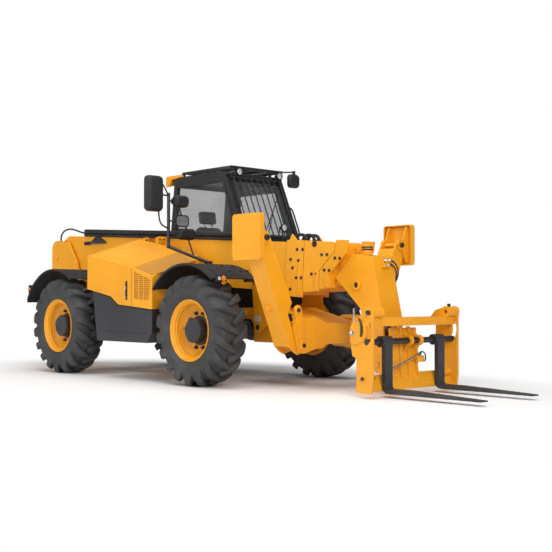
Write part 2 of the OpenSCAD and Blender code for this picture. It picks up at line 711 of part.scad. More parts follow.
// Cab: a shell with its windows cut, a door, a roof panel and bars
cab_left_y = guard_out + 5;
cab_top = roof_z - 50;
waist_z = guard_top + 345;
cab_rear = rear_x + tyre_r + 250;
cab_front = front_x - tyre_r - 150;
brow_x = -915;
cab_profile = [
  [cab_rear, cab_floor_z], [cab_front, cab_floor_z], [cab_front + 30, guard_top - 5],
  [-500, guard_top + 95],
  [-560, waist_z + 10], [brow_x, cab_top], [cab_rear - 70, cab_top], [cab_rear - 160, waist_z + 10],
  [cab_rear - 100, guard_top + 55]
];
window_top = cab_top - 75;
side_window = [
  [cab_rear - 50, waist_z], [-660, waist_z], [brow_x - 45, window_top], [cab_rear - 10, window_top]
];
door_rear = cab_rear + 90;
door_opening = [
  [door_rear, cab_floor_z + 55], [cab_front - 65, cab_floor_z + 55], [cab_front - 30, guard_top + 45],
  [-640, guard_top + 125], [-665, waist_z], [brow_x - 50, window_top], [door_rear, window_top]
];
post = 70;
screen_y = [cab_right_y + post, cab_left_y - post];
// Window frames: X runs up the glass
screen_run = cab_profile[5] - cab_profile[4];
rear_run = cab_profile[6] - cab_profile[7];
low_run = cab_profile[4] - cab_profile[3];
module on_edge(p, run) translate([p[0], 0, p[1]]) rotate([0, -atan2(run[1], run[0]), 0]) children();
screen_u = [50, norm(screen_run) - 70];
rear_u = [60, norm(rear_run) - 80];
low_u = [45, norm(low_run) - 45];
roof_hatch = [[cab_rear + 10, cab_right_y + post], [brow_x - 75, cab_left_y - post]];
module cab_shell() difference() {
  xz_plate(cab_profile, cab_right_y, cab_left_y);
  xz_plate(inset(cab_profile, cab_wall), cab_right_y + cab_wall, cab_left_y - cab_wall);
  xz_plate(side_window, cab_right_y - 5, cab_right_y + cab_wall + 5);
  xz_plate(door_opening, cab_left_y - cab_wall - 5, cab_left_y + 5);
  on_edge(cab_profile[4], screen_run) block([screen_u[0], screen_y[0], -20],
    [screen_u[1], screen_y[1], cab_wall + 10]);
  on_edge(cab_profile[7], rear_run) block([rear_u[0], screen_y[0], -cab_wall - 10],
    [rear_u[1], screen_y[1], 20]);
  on_edge(cab_profile[3], low_run) block([low_u[0], screen_y[0], -20],
    [low_u[1], screen_y[1], cab_wall + 10]);
  block([roof_hatch[0][0], roof_hatch[0][1], cab_top - cab_wall - 5],
    [roof_hatch[1][0], roof_hatch[1][1], cab_top + 5]);
}
module cab_frame() color(black) {
  cab_shell();
  // brackets with the door's hinge pins
  for (z = door_lug_z) {
    block([door_hinge[0] - 60, cab_left_y - 1, z - 28], [door_rear - 2, door_hinge[1] + 12, z - 4]);
    block([door_rear - 3, door_hinge[1] - 16, z - 28], [door_hinge[0] + 12, door_hinge[1] + 12, z - 4]);
    translate([door_hinge[0], door_hinge[1], z - 5]) cylinder(d = door_pin_d - 2 * run_gap,
      h = door_lug + 5);
  }
}
module cab_glass() color(glass) {
  xz_plate(inset(side_window, seat_gap), cab_right_y + 20, cab_right_y + 20 + glass_t);
  on_edge(cab_profile[4], screen_run)
    block([screen_u[0] + seat_gap, screen_y[0] + seat_gap, 20],
      [screen_u[1] - seat_gap, screen_y[1] - seat_gap, 20 + glass_t]);
  on_edge(cab_profile[7], rear_run)
    block([rear_u[0] + seat_gap, screen_y[0] + seat_gap, -20 - glass_t],
      [rear_u[1] - seat_gap, screen_y[1] - seat_gap, -20]);
  on_edge(cab_profile[3], low_run)
    block([low_u[0] + seat_gap, screen_y[0] + seat_gap, 20],
      [low_u[1] - seat_gap, screen_y[1] - seat_gap, 20 + glass_t]);
}
module cab_roof() color(black) {
  block([roof_hatch[0][0] + seat_gap, roof_hatch[0][1] + seat_gap, cab_top - 40],
    [roof_hatch[1][0] - seat_gap, roof_hatch[1][1] - seat_gap, cab_top]);
  xz_plate([
    [cab_rear - 100, cab_top], [brow_x + 25, cab_top], [brow_x - 15, cab_top + 35],
    [brow_x - 125, roof_z],
    [cab_rear + 10, roof_z], [cab_rear - 80, cab_top + 30]
  ], cab_right_y + 10, cab_left_y - 10);
}
door_gap = 6;
door_rim = 60;
door_pin_d = 22;
door_lug_d = door_pin_d + 18;
door_hinge = [door_rear + door_gap, cab_left_y + door_lug_d / 2 + side_gap];
door_lug = 70;
door_lug_z = [cab_floor_z + 160, cab_top - 270];
module cab_door() color(black) {
  difference() {
    xz_plate(inset(door_opening, door_gap), cab_left_y - cab_wall, cab_left_y);
    xz_plate(inset(door_opening, door_gap + door_rim), cab_left_y - cab_wall - 5, cab_left_y + 5);
  }
  for (z = door_lug_z) translate([door_hinge[0], door_hinge[1], z]) difference() {
    union() {
      cylinder(d = door_lug_d, h = door_lug);
      translate([0, cab_left_y - door_hinge[1] - 1, 0]) cube([60, door_lug_d / 2 + side_gap, door_lug]);
    }
    translate([0, 0, -1]) cylinder(d = door_pin_d, h = door_lug + 2);
  }
}
module door_glass() color(glass)
  xz_plate(inset(door_opening, door_gap + door_rim + seat_gap), cab_left_y - 30,
    cab_left_y - 30 + glass_t);
// Bars in front of the windscreen, carried by a rail above and one below
bar_count = 9;
bar_d = 16;
bar_out = 34;
module screen_bars() on_edge(cab_profile[4], screen_run) {
  ends = [screen_u[0] - 25, screen_u[1] + 30];
  first = screen_y[0] + 20;
  pitch = (screen_y[1] - screen_y[0] - 40) / (bar_count - 1);
  for (i = [0:bar_count - 1]) x_cyl(bar_d, first + i * pitch, -bar_out, ends[0], ends[1]);
  for (u = ends) {
    y_cyl(bar_d + 6, u, -bar_out, screen_y[0] - 20, screen_y[1] + 20);
    for (y = [screen_y[0] - 18, screen_y[1] - 2]) block([u - 12, y, -bar_out], [u + 12, y + 20, 0]);
  }
}
module roof_guard() color(black) {
  screen_bars();
  top = roof_z + 65;
  ends = [cab_rear + 40, brow_x + 35];
  for (x = ends) block([x - 15, cab_right_y + 60, top - 24], [x + 15, cab_left_y - 60, top]);
  for (i = [0:6]) translate([0, cab_right_y + 75 + i * (cab_left_y - cab_right_y - 150) / 6, 0])
    block([ends[0], -8, top - 20], [ends[1], 8, top - 4]);
  for (x = [ends[0], brow_x - 145], y = [cab_right_y + 60, cab_left_y - 90])
    block([x - 15, y, roof_z], [x + 15, y + 30, top - 10]);
}
cab_mid = (cab_right_y + cab_left_y) / 2;
cab_in_z = cab_floor_z + cab_wall;
seat_x = cab_rear + 80;
seat_z = cab_floor_z + 410;
wheel_at = [cab_front - 230, cab_mid, seat_z + 260];
knee_room = 330;
head_room = 370;
cushion_t = 120;
back_lean = 10;
back_len = (cab_top - head_room - seat_z - cushion_t) / cos(back_lean);
headrest = 180;
module seat() color(black) {
  block([seat_x + 20, cab_mid - 200, cab_in_z], [seat_x + 340, cab_mid + 200, seat_z]);
  block([seat_x, cab_mid - 250, seat_z], [wheel_at[0] - knee_room, cab_mid + 250, seat_z + cushion_t]);
  translate([seat_x + 80, 0, seat_z + cushion_t - 10]) rotate([0, -back_lean, 0]) {
    block([-60, cab_mid - 230, 0], [60, cab_mid + 230, back_len - headrest]);
    block([-45, cab_mid - 130, back_len - headrest - 1], [45, cab_mid + 130, back_len]);
  }
}
module controls() color(black) {
  block([cab_front - 130, cab_mid - 250, cab_in_z], [cab_front - 60, cab_mid + 250, seat_z + 30]);
  bar(60, [cab_front - 100, cab_mid, seat_z], wheel_at);
  translate(wheel_at) rotate([0, -25, 0]) {
    rotate_extrude($fn = 32) translate([180, 0]) circle(d = 30, $fn = 16);
    for (a = [0, 120, 240]) rotate([0, 0, a]) x_cyl(24, 0, 0, 0, 180);
  }
}

// Mirrors: a stand on the right mudguard with four heads, and one head on the roof guard's left end
stand_d = 38;
stand_bend = stand_pad + [-255, -385, 205];
stand_top = stand_bend + [0, 0, 600];
arm_d = 20;
clamp = 30;
mirror_reach = 1310;
head_r = 38;
roof_arm = [brow_x + 155, mirror_reach - 95, roof_z + 53];
// Heads on the stand, each as [width, height, thickness, place of its middle seen from the stand's top]
heads = [
  [250, 410, 90, [stand_d / 2 + clamp + 45, -mirror_reach + 125 - stand_top[1], -15]],
  [220, 140, 80, [-stand_d / 2 + 62, 150, -75]],
  [190, 140, 40, [stand_d / 2 + clamp + 20, 135, -305]],
  [250, 130, 70, [stand_d / 2 + clamp + 35, 205, -455]]
];
module mirror_stand() color(black) {
  block(stand_pad + [-40, -25, 0], stand_pad + [40, 25, 40]);
  bar(stand_d, stand_pad + [0, 0, 22], stand_bend);
  translate(stand_bend) sphere(d = stand_d + 10);
  bar(stand_d, stand_bend, stand_top);
  translate(stand_top) sphere(d = stand_d + 4);
  for (h = heads) translate(stand_top) head_arm(h);
  // arm of the left head
  y_cyl(arm_d, brow_x + 35, roof_arm[2], cab_left_y - 60, cab_left_y - 30);
  translate([brow_x + 35, cab_left_y - 30, roof_arm[2] - clamp / 2]) cylinder(d = clamp, h = clamp);
  bar(arm_d, [brow_x + 35, cab_left_y - 30, roof_arm[2]], roof_arm);
  block(roof_arm - [clamp / 2, clamp / 2, clamp + 5], roof_arm + [clamp / 2, clamp / 2, arm_d / 2 + 5]);
}
// Arm from the stand's tube to a clamp on the back of a head
module head_arm(h) {
  back = h[3][0] - h[2] / 2;
  at = [back - clamp, h[3][1] + (h[3][1] > 0 ? -1 : 1) * (h[0] / 2 - clamp), h[3][2]];
  bar(arm_d, [0, 0, at[2]], at + [clamp / 2, 0, 0]);
  block(at + [0, -clamp / 2, -clamp], at + [clamp, clamp / 2, clamp]);
}
// Mirror head: a housing with round corners
module mirror_head(h) rotate([90, 0, 90]) translate([0, 0, -h[2] / 2]) linear_extrude(h[2]) {
  w = h[0] / 2 - head_r;
  t = h[1] / 2 - head_r;
  polygon([
    each arc_points([w, t], head_r, 0, 90, 4), each arc_points([-w, t], head_r, 90, 180, 4),
    each arc_points([-w, -t], head_r, 180, 270, 4), each arc_points([w, -t], head_r, 270, 360, 4)
  ]);
}
left_head = [190, 150, 60];
module mirrors() color(black) {
  for (h = heads) translate(stand_top + h[3]) mirror_head(h);
  translate(roof_arm - [0, 0, clamp + 5 + left_head[1] / 2]) mirror_head(left_head);
}
// Work lamps: two under the front of the roof guard, one at the windscreen's foot
lamp_d = 84;
lamp_y = [cab_right_y + 165, cab_left_y - 110];
foot_lamp = [-490, cab_left_y - 370, waist_z + 160];
lamp_stalk = 160;
lamp_hang = 49;
lamp_arm = 12;
module lamp_body() rotate([0, 90, 0]) {
  cylinder(d = lamp_d, h = 40);
  translate([0, 0, -30]) cylinder(d1 = lamp_d * 0.6, d2 = lamp_d, h = 30);
}
module lamps() color(steel) {
  for (y = lamp_y) translate([brow_x + 62, y, roof_z - 8]) {
    lamp_body();
    block([-22, -lamp_arm, 20], [2, lamp_arm, lamp_hang]);
  }
  translate(foot_lamp) {
    lamp_body();
    block([-lamp_arm, -lamp_arm, -lamp_d / 2 - lamp_stalk], [lamp_arm, lamp_arm, -lamp_d / 2 + 6]);
  }
  on_edge(cab_profile[3], low_run) block([norm(low_run) - 60, foot_lamp[1] - lamp_arm, -55],
    [norm(low_run) - 20, foot_lamp[1] + lamp_arm, 0]);
}

// Boom: four tubes that slide in one another, with a collar at the mouth of each
u0 = [-130, 330, 400, 470];
u_end = [reach - 1015, reach - 767, reach - 622, reach - 345];
module tube(i) {
  h = tube_half[i];
  translate([0, 0, boom_mid]) difference() {
    block([u0[i], -h[0], -h[1]], [u_end[i], h[0], h[1]]);
    block([u0[i] - 1, -h[0] + boom_wall, -h[1] + boom_wall],
      [u_end[i] + 1, h[0] - boom_wall, h[1] - boom_wall]);
  }
}
// Wear pads round the tail of tube i, running inside tube i - 1
module tail_pads(i) {
  h = tube_half[i];
  big = tube_half[i - 1] - [boom_wall + pad_gap, boom_wall + pad_gap];
  translate([u0[i] + 20, 0, boom_mid]) {
    for (s = [0, 1]) {
      mirror([0, s, 0]) block([0, h[0] - 1, -h[1] * 0.6], [160, big[0], h[1] * 0.6]);
      mirror([0, 0, s]) block([0, -h[0] * 0.6, h[1] - 1], [160, h[0] * 0.6, big[1]]);
    }
  }
}
collar_w = [[-295, 322], [-240, 315], [-195, 335]];
collar_back = [reach - 1280, u_end[0] + collar_gap, u_end[1] + collar_gap];
slant = [210, 215];
// Side view of each collar, in the boom frame
collar_side = [
  [
    [collar_back[0], collar_w[0][0]], [u_end[0], collar_w[0][0]], [u_end[0], collar_w[0][1]],
    [collar_back[0] + 150, collar_w[0][1]], [collar_back[0] + 75, collar_w[0][1] + 65],
    [collar_back[0] + 40, collar_w[0][1]],
    [collar_back[0], collar_w[0][1]]
  ],
  [
    [collar_back[1], collar_w[1][0]], [u_end[1], collar_w[1][0] + 25], [u_end[1], 10],
    [u_end[1] + slant[0], 10 + slant[1]],
    [u_end[1] + slant[0] + 8, 300], [u_end[1] + slant[0] - 40, collar_w[1][1]],
      [collar_back[1], collar_w[1][1]]
  ],
  [
    [collar_back[2], collar_w[2][0]], [u_end[2], collar_w[2][0] + 20], [u_end[2], -35],
    [u_end[2] + 245, 222],
    [u_end[2] + 252, collar_w[2][1]], [collar_back[2] + slant[0] + 8, collar_w[2][1]],
    [collar_back[2] + slant[0], 6 + slant[1]], [collar_back[2], 6]
  ]
];
// The third collar keeps inside the slanted plates of the second
function ring_half(i) = i < 2 ? collar_out - 1 : collar_out - 20 - side_gap;
rib_w = 40;
rib_t = 12;
// Upright rib near the mouth, as [distance behind the mouth, top]
collar_rib = [[66, 85], [60, 0], [52, -60]];
module collar(i) {
  h = tube_half[i];
  n = tube_half[i + 1];
  w = collar_w[i];
  for (s = [0, 1]) mirror([0, s, 0])
    block([u_end[i] - collar_rib[i][0], collar_out - 1, w[0] + 30],
      [u_end[i] - collar_rib[i][0] + rib_w, collar_out + rib_t, collar_rib[i][1]]);
  for (s = [0, 1]) mirror([0, s, 0]) xz_plate(collar_side[i], collar_out - 20, collar_out);
  // ring between the side plates, with the mouth for the next tube
  difference() {
    union() {
      block([collar_back[i], -ring_half(i), w[0] + 26],
        [u_end[i], ring_half(i), min(w[1], boom_mid + h[1] + 30)]);
      block([collar_back[i], -collar_out + 1, w[0] + 26],
        [u_end[i], collar_out - 1, collar_side[i][2][1] - 10]);
    }
    block([collar_back[i] - 1, -h[0] + 1, boom_mid - h[1] + 1],
      [u_end[i] - 70, h[0] - 1, boom_mid + h[1] - 1]);
    block([u_end[i] - 71, -n[0] - pad_gap, boom_mid - n[1] - pad_gap],
      [u_end[i] + 1, n[0] + pad_gap, boom_mid + n[1] + pad_gap]);
  }
}
// Rod eye of the lift ram in the boom frame
lift_rel = lift_eye - [pivot_x, pivot_z];
lift_u = lift_rel[0] * cos(boom_droop) - lift_rel[1] * sin(boom_droop);
lift_w = lift_rel[0] * sin(boom_droop) + lift_rel[1] * cos(boom_droop);
tube_low = boom_mid - boom_h / 2;
module boom_outer() color(yellow) in_boom() {
  difference() {
    tube(0);
    // slanted tail
    xz_plate([[-200, 60], [-200, 400], [220, 400], [220, boom_mid + boom_h / 2]], -300, 300);
  }
  collar(0);
  y_cyl(pivot_pin_d - 2 * run_gap, 0, 0, -frame_half - frame_plate - 12, frame_half + frame_plate + 12);
  y_cyl(sleeve_d, 0, 0, -frame_half + side_gap, frame_half - side_gap);
  translate([0, tail_hose_y, 0]) cylinder(d = tail_gland[0], h = tail_gland[1]);
  // rod lugs of the lift ram under the tube
  for (s = [-1, 1]) translate([0, s * (lift_lug_y + lift_lug / 2), 0]) xz_plate([
    [lift_u - 190, tube_low + 2], [lift_u - 50, lift_w - 60], [lift_u + 50, lift_w - 60],
      [lift_u + 190, tube_low + 2]
  ], -lift_lug / 2, lift_lug / 2);
}
rail_u = [650, reach - 2180];
tray_base = boom_mid + boom_h / 2;
tray_edge_r = 33;
// Hose tray on the boom's upper right edge: a flat lid with a round outer edge over a lip
module hose_cover() color(black) in_boom() yz_plate([
  [-60, tray_base], [-60, tray_base + 95],
  each arc_points([-collar_out + tray_edge_r, tray_base + 102 - tray_edge_r], tray_edge_r, 90, 240, 8),
  [-collar_out + 22, tray_base + 36], [-collar_out, tray_base + 32], [-collar_out, tray_base + 10],
    [-collar_out + 22, tray_base]
], rail_u[0], rail_u[1]);

// Hoses: each a round tube swept along points set by hand, between two glands
hose_sides = 10;
function heading(route, i) = unit(route[min(i + 1, len(route) - 1)] - route[max(i - 1, 0)]);
function hose_ring(route, i, d, side) = [
  for (k = [0:hose_sides - 1])
    let (t = heading(route, i), n = unit(cross(side, t)), b = cross(t, n), a = k * 360 / hose_sides)
    route[i] + d / 2 * (cos(a) * n + sin(a) * b)
];
module hose(route, d, side) {
  last = len(route) - 1;
  polyhedron([for (i = [0:last]) each hose_ring(route, i, d, side)], [
    [for (k = [0:hose_sides - 1]) k],
    [for (k = [hose_sides - 1:-1:0]) last * hose_sides + k],
    for (i = [0:last - 1], k = [0:hose_sides - 1])
      let (m = (k + 1) % hose_sides, a = i * hose_sides, b = a + hose_sides)
      [a + k, b + k, b + m, a + m]
  ]);
}
// Tail hose, in the boom frame: up out of a gland on the pivot sleeve and forward into the tray
tail_hose_d = 24;
tail_hose_y = -150;
sleeve_d = pivot_pin_d + 50;
tail_gland = [50, 112];
tail_route = [
  [0, tail_gland[1]], [0, 140], [-20, 172], [-52, 208], [-70, 255], [-62, 303], [-22, 348], [42, 381],
  [125, 398], [215, 400], [310, 390], [410, 371], [520, 353], [600, 346], [rail_u[0], 346]
];
module tail_hose() color(black) in_boom()
  hose([for (p = tail_route) [p[0], tail_hose_y, p[1]]], tail_hose_d, [0, 1, 0]);
module boom_second() color(yellow) in_boom() {
  tube(1);
  tail_pads(1);
  collar(1);
}
module boom_third() color(yellow) in_boom() {
  tube(2);
  tail_pads(2);
  collar(2);
}

// Nose: two side plates from the inner tube down to the carriage hinge
nose_front = [[1844, 1390], [1988, 763]];
nose_side = [
  bw(u_end[2] + 34, -58), [1679, 861], [hinge_x - 95, hinge_z + 60], [hinge_x - 80, hinge_z - 55],
  [hinge_x - 30, hinge_z - 90], [hinge_x + 30, hinge_z - 90], [hinge_x + 75, hinge_z - 40],
  [hinge_x + 80, hinge_z + 60],
  nose_front[1], nose_front[0], bw(u_end[3] + 0, 195), bw(u_end[2] + 275, 195)
];
// Hose block on the front plate and hose foot on the left plate, with two hoses between them
nose_hose_d = 16;
block_t = 40;
block_z = [1275, 1378];
block_y = [-40, 55];
hose_foot = [1830, nose_half, 1000];
hose_foot_box = [80, 40, 24];
function front_at(z) = nose_front[0][0]
  + (nose_front[0][1] - z) * (nose_front[1][0] - nose_front[0][0]) / (nose_front[0][1] - nose_front[1][1]);
nose_routes = [
  [
    [1874, block_y[1], 1352], [1874, 95, 1352], [1878, 132, 1342], [1884, 170, 1315], [1888, 196, 1275],
    [1888, 208, 1232], [1882, 208, 1190], [1868, 200, 1145], [1848, 186, 1100], [1826, 175, 1064],
    [1814, 172, 1040], [1814, 172, hose_foot[2] + hose_foot_box[2]]
  ],
  [
    [1882, block_y[1], 1312], [1882, 88, 1312], [1887, 120, 1300], [1892, 148, 1274], [1894, 166, 1238],
    [1890, 175, 1198], [1878, 176, 1153], [1863, 174, 1110], [1851, 172, 1070], [1848, 172, 1045],
    [1848, 172, hose_foot[2] + hose_foot_box[2]]
  ]
];
module nose_hoses() color(black) translate([0, boom_y, 0])
  for (route = nose_routes) hose(route, nose_hose_d, [1, 0, 0]);
module boom_nose() color(yellow) {
  in_boom() {
    tube(3);
    tail_pads(3);
    for (s = [0, 1]) mirror([0, s, 0])
      block([u_end[2] + 90, tube_half[3][0] - 2, -50], [u_end[3], nose_half - nose_plate + 1, 120]);
  }
  translate([0, boom_y, 0]) {
    difference() {
      for (s = [0, 1]) mirror([0, s, 0]) xz_plate(nose_side, nose_half - nose_plate, nose_half);
      y_cyl(hinge_pin_d, hinge_x, hinge_z, -nose_half - 1, nose_half + 1);
    }
    // front, top and rear plates
    xz_plate([nose_front[0], nose_front[0] - [20, 0], nose_front[1] - [20, 0], nose_front[1]],
      -nose_half + 1, nose_half - 1);
    xz_plate([nose_front[0], bw(u_end[3], 195), bw(u_end[3], 177), nose_front[0] - [4, 18]],
      -nose_half + 1, nose_half - 1);
    xz_plate([nose_side[0] + [60, -54], nose_side[0] + [78, -54], nose_side[1] + [17, 6],
      nose_side[1]], -nose_half + 1, nose_half - 1);
    y_cyl(tilt_pin_d - 2 * run_gap, tilt_pin[0], tilt_pin[1], -nose_half + 1, nose_half - 1);
    xz_plate([
      [front_at(block_z[0]) - 5, block_z[0]], [front_at(block_z[0]) + block_t, block_z[0]],
      [front_at(block_z[1]) + block_t, block_z[1]], [front_at(block_z[1]) - 5, block_z[1]]
    ], block_y[0], block_y[1]);
    translate(hose_foot) block([-hose_foot_box[0] / 2, -1, 0],
      [hose_foot_box[0] / 2, hose_foot_box[1], hose_foot_box[2]]);
  }
}

// Rams: each barrel turns on its base pin, each rod ends in an eye between its lugs
ram_neck = 75;
module ram_barrel(d, pin_d, len, w) {
  // base eye at the origin, barrel along +X
  difference() {
    union() {
      x_cyl(d, 0, 0, pin_d / 2 + ram_neck, len);
      rotate([90, 0, 0]) translate([0, 0, -w / 2]) cylinder(d = pin_d + 50, h = w);
      block([0, -w / 2, -pin_d / 2 - 10], [pin_d / 2 + ram_neck + 1, w / 2, pin_d / 2 + 10]);
      // gland ring at the mouth
      x_cyl(d + 10, 0, 0, len - 45, len - 8);
    }
    rotate([90, 0, 0]) translate([0, 0, -w]) cylinder(d = pin_d, h = 2 * w);
    x_cyl(ram_bore(d), 0, 0, pin_d / 2 + ram_neck + 12, len + 1);
  }
}
function ram_bore(d) = 0.62 * d;
module ram_rod(d, start, len, eye_d, w) {
  x_cyl(ram_bore(d) - 2 * run_gap, 0, 0, start, len - eye_d / 2 + 8);
  rotate([90, 0, 0]) translate([len, 0, -w / 2]) cylinder(d = eye_d, h = w);
}
module xz_aim(a, b, y) {
  run = b - a;
  translate([a[0], y, a[1]]) rotate([0, -atan2(run[1], run[0]), 0]) children();
}
lift_len = norm(lift_eye - lift_base);
tilt_len = norm(tilt_eye - tilt_pin);
module lift_barrel() color(black) xz_aim(lift_base, lift_eye, boom_y)
  ram_barrel(lift_barrel_d, lift_pin_d, lift_len - 140, lift_eye_w);
module lift_rod() color(steel) xz_aim(lift_base, lift_eye, boom_y)
  ram_rod(lift_barrel_d, 130, lift_len, 120, lift_eye_w);
tilt_barrel_d = 105;
tilt_eye_w = 60;
module tilt_barrel() color(black) xz_aim(tilt_pin, tilt_eye, boom_y)
  ram_barrel(tilt_barrel_d, tilt_pin_d, tilt_len - 100, 90);
module tilt_rod() color(steel) xz_aim(tilt_pin, tilt_eye, boom_y)
  ram_rod(tilt_barrel_d, 175, tilt_len, 84, tilt_eye_w);

// Carriage: end plates with hook slots, joined by a top beam and a bent lip, and a hinge box
// behind the middle
end_t = 25;
hook_t = 15;
half_w = carriage_w / 2;
end_y = half_w - hook_t;
end_back = 2060;
end_front = 2268;
boss = [2222, 822];
boss_d = 116;
boss_bore = 42;
top_beam = [[2138, 690], [2222, 775]];
lip_front = fork_face_x - fork_t - side_gap;
box_half = 200;
box_x = [2105, 2125];
// Hook slot: an arc that the end of the fork shaft lies in
slot_mid = [2078, 640];
slot_r = norm([shaft_x, shaft_z] - slot_mid);
slot_w = shaft_d;
hinge_lug = nose_half + side_gap;
tilt_lug = tilt_eye_w / 2 + side_gap;
module hook_slot() translate(slot_mid) intersection() {
  difference() {
    circle(r = slot_r + slot_w / 2);
    translate([-14, 0]) circle(r = slot_r - slot_w / 2 + 6);
  }
  polygon([[0, 0], [300, -300 * tan(42)], [420, 0], [300, 300 * tan(54)]]);
}
module end_plate() {
  linear_extrude(end_t) difference() {
    union() {
      polygon([
        [end_back, 50], [end_front - 25, 50], [end_front - 12, 90], [end_front, 180],
        [end_front, boss[1] - 70],
        [boss[0] + boss_d / 2, boss[1]], [boss[0] - boss_d / 2, boss[1]], [2090, 790], [2030, 770],
        [1990, 690],
        [1985, 520], [2010, 400], [end_back, 385]
      ]);
      translate(boss) circle(d = boss_d);
    }
    translate(boss) circle(d = boss_bore);
    translate([shaft_x, shaft_z]) circle(d = shaft_d);
    hook_slot();
  }
  // outer cheek of the hook
  translate([0, 0, end_t - 1]) linear_extrude(hook_t + 1) intersection() {
    polygon([[1995, 680], [1990, 520], [2012, 402], [2120, 395], [2240, 470], [2240, 900],
      [2040, 768]]);
    translate(slot_mid - [16, 0]) circle(r = slot_r - slot_w / 2 + 4);
  }
}
module rib_plate(points, y, t) xz_plate(points, boom_y + y - t / 2, boom_y + y + t / 2);
module carriage() color(yellow) {
  for (s = [0, 1]) mirror([0, s, 0]) {
    translate([0, end_y - end_t, 0]) rotate([90, 0, 0]) mirror([0, 0, 1]) end_plate();
    // inner lug and the tube between it and the end plate
    difference() {
      union() {
        xz_plate([
          [2030, top_beam[0][1] + 40], [top_beam[1][0], top_beam[0][1] + 40],
          [boss[0] + boss_d / 2, boss[1]],
          [boss[0] - 50, boss[1] + 40], [2090, boss[1] + 15], [2030, boss[1] - 50]
        ], end_y - 165, end_y - 145);
        y_cyl(boss_d, boss[0], boss[1], end_y - 165, end_y - 145);
        y_cyl(boss_d - 16, boss[0], boss[1], end_y - 146, end_y - end_t + 1);
      }
      y_cyl(boss_bore, boss[0], boss[1], end_y - 170, end_y);
    }
  }
  block([top_beam[0][0], -end_y + 1, top_beam[0][1]], [top_beam[1][0], end_y - 1, top_beam[1][1]]);
  // bent lip along the bottom
  xz_plate([
    [box_x[0], 60], [lip_front, 60], [lip_front, 98], [box_x[1] + 12, 185], [box_x[1] + 12, 215],
      [box_x[0], 215]
  ], -end_y + 1, end_y - 1);
  // hinge box: back plate, ribs that run out into fins on the lip, and the shaft's two supports
  block([box_x[0], boom_y - box_half, 214], [box_x[1], boom_y + box_half, top_beam[0][1] - 25]);
  // the outer ribs stop below the fork eyes
  for (r = [[-box_half + 10, 470], [-65, 680], [65, 680], [box_half - 10, 470]])
    rib_plate([
      [box_x[0] + 5, r[1]], [box_x[1] + 26, r[1]], [box_x[1] + 26, 290], [box_x[1] + 36, 225],
      [lip_front - 28, 150],
      [lip_front - 4, 98], [box_x[0] + 5, 98]
    ], r[0], 18);
  for (y = [10, 160]) difference() {
    union() {
      rib_plate([[box_x[0] + 5, 400], [shaft_x - 5, shaft_z - 60], [shaft_x + 20, shaft_z],
        [box_x[0] + 5, 650]], y, 40);
      y_cyl(shaft_d + 44, shaft_x, shaft_z, boom_y + y - 20, boom_y + y + 20);
    }
    y_cyl(shaft_d, shaft_x, shaft_z, boom_y + y - 30, boom_y + y + 30);
  }
  translate([0, boom_y, 0]) {
    for (s = [0, 1]) mirror([0, s, 0]) {
      xz_plate([
        [hinge_x - 60, hinge_z - 45], [hinge_x + 10, hinge_z - 75], [box_x[1] - 5, 70],
        [box_x[1] - 5, 640],
        [hinge_x + 40, hinge_z + 75], [hinge_x - 40, hinge_z + 60]
      ], hinge_lug, hinge_lug + 25);
      xz_plate([
        tilt_eye + [-35, -45], tilt_eye + [20, -55], [box_x[1] - 5, 380], [box_x[1] - 5, 580],
          tilt_eye + [10, 48],
        tilt_eye + [-40, 25]
      ], tilt_lug, tilt_lug + 20);
    }
    y_cyl(hinge_pin_d - 2 * run_gap, hinge_x, hinge_z, -hinge_lug - 35, hinge_lug + 35);
  }
}
module fork_shaft() color(black) y_cyl(shaft_d - 2 * run_gap, shaft_x, shaft_z, -end_y, end_y);
heel_r = 70;
eye_over = 18;
module fork(y) color(grey) translate([0, y, 0]) {
  back = fork_face_x - fork_t;
  difference() {
    union() {
      xz_plate([
        each arc_points([back + heel_r, fork_clear + heel_r], heel_r, 180, 270, 5),
          [fork_tip_x, fork_clear],
        [fork_tip_x, fork_clear + 12], [fork_face_x + 250, fork_clear + fork_t],
        each arc_points([fork_face_x + 25, fork_clear + fork_t + 25], 25, 270, 180, 3),
          [fork_face_x, shaft_z], [back, shaft_z]
      ], -fork_w / 2, fork_w / 2);
      y_cyl(shaft_d + 50, shaft_x, shaft_z, -fork_w / 2 - eye_over, fork_w / 2 + eye_over);
    }
    y_cyl(shaft_d, shaft_x, shaft_z, -fork_w, fork_w);
  }
}

// Stabilisers: drawn on the left in a frame whose Y axis runs along the leg
leg_eye = [930, 20];
module in_leg() translate([0, leg_pivot[0], leg_pivot[1]]) rotate([leg_angle, 0, 0]) children();
leg_side = [
  [-70, -75], [-20, -115], [60, -150], [leg_len - 120, -110], [leg_len + 55, -50],
  [leg_len + 55, 50], [leg_len - 40, 70],
  [460, 70], [370, -30], [130, -40], [60, 55], [-40, 75], [-80, 20]
];
leg_sheet = 18;
module leg() color(yellow) in_leg() {
  for (x = [leg_x0, leg_x1 - leg_sheet]) yz_plate(leg_side, x, x + leg_sheet);
  yz_plate([[60, -150], [leg_len - 120, -110], [leg_len - 120, -90], [60, -130]], leg_x0 + 1,
    leg_x1 - 1);
  // inner wall beyond the ram's eye
  yz_plate([[leg_eye[0] + 90, 52], [leg_len - 75, 56], [leg_len - 75, 70], [leg_eye[0] + 90, 66]],
    leg_x0 + 1, leg_x1 - 1);
  x_cyl(leg_pin_d - 2 * run_gap, 0, 0, leg_x0 - side_gap - bracket_plate - 8,
    leg_x1 + side_gap + bracket_plate + 8);
  x_cyl(foot_pin_d - 2 * run_gap, leg_len, 0, leg_x0 - side_gap - foot_plate - 8,
    leg_x1 + side_gap + foot_plate + 8);
}
foot_at = leg_pivot + leg_len * [cos(leg_angle), sin(leg_angle)];
sole_y = foot_at[0] + 135;
sole_t = 18;
sole_r = 35;
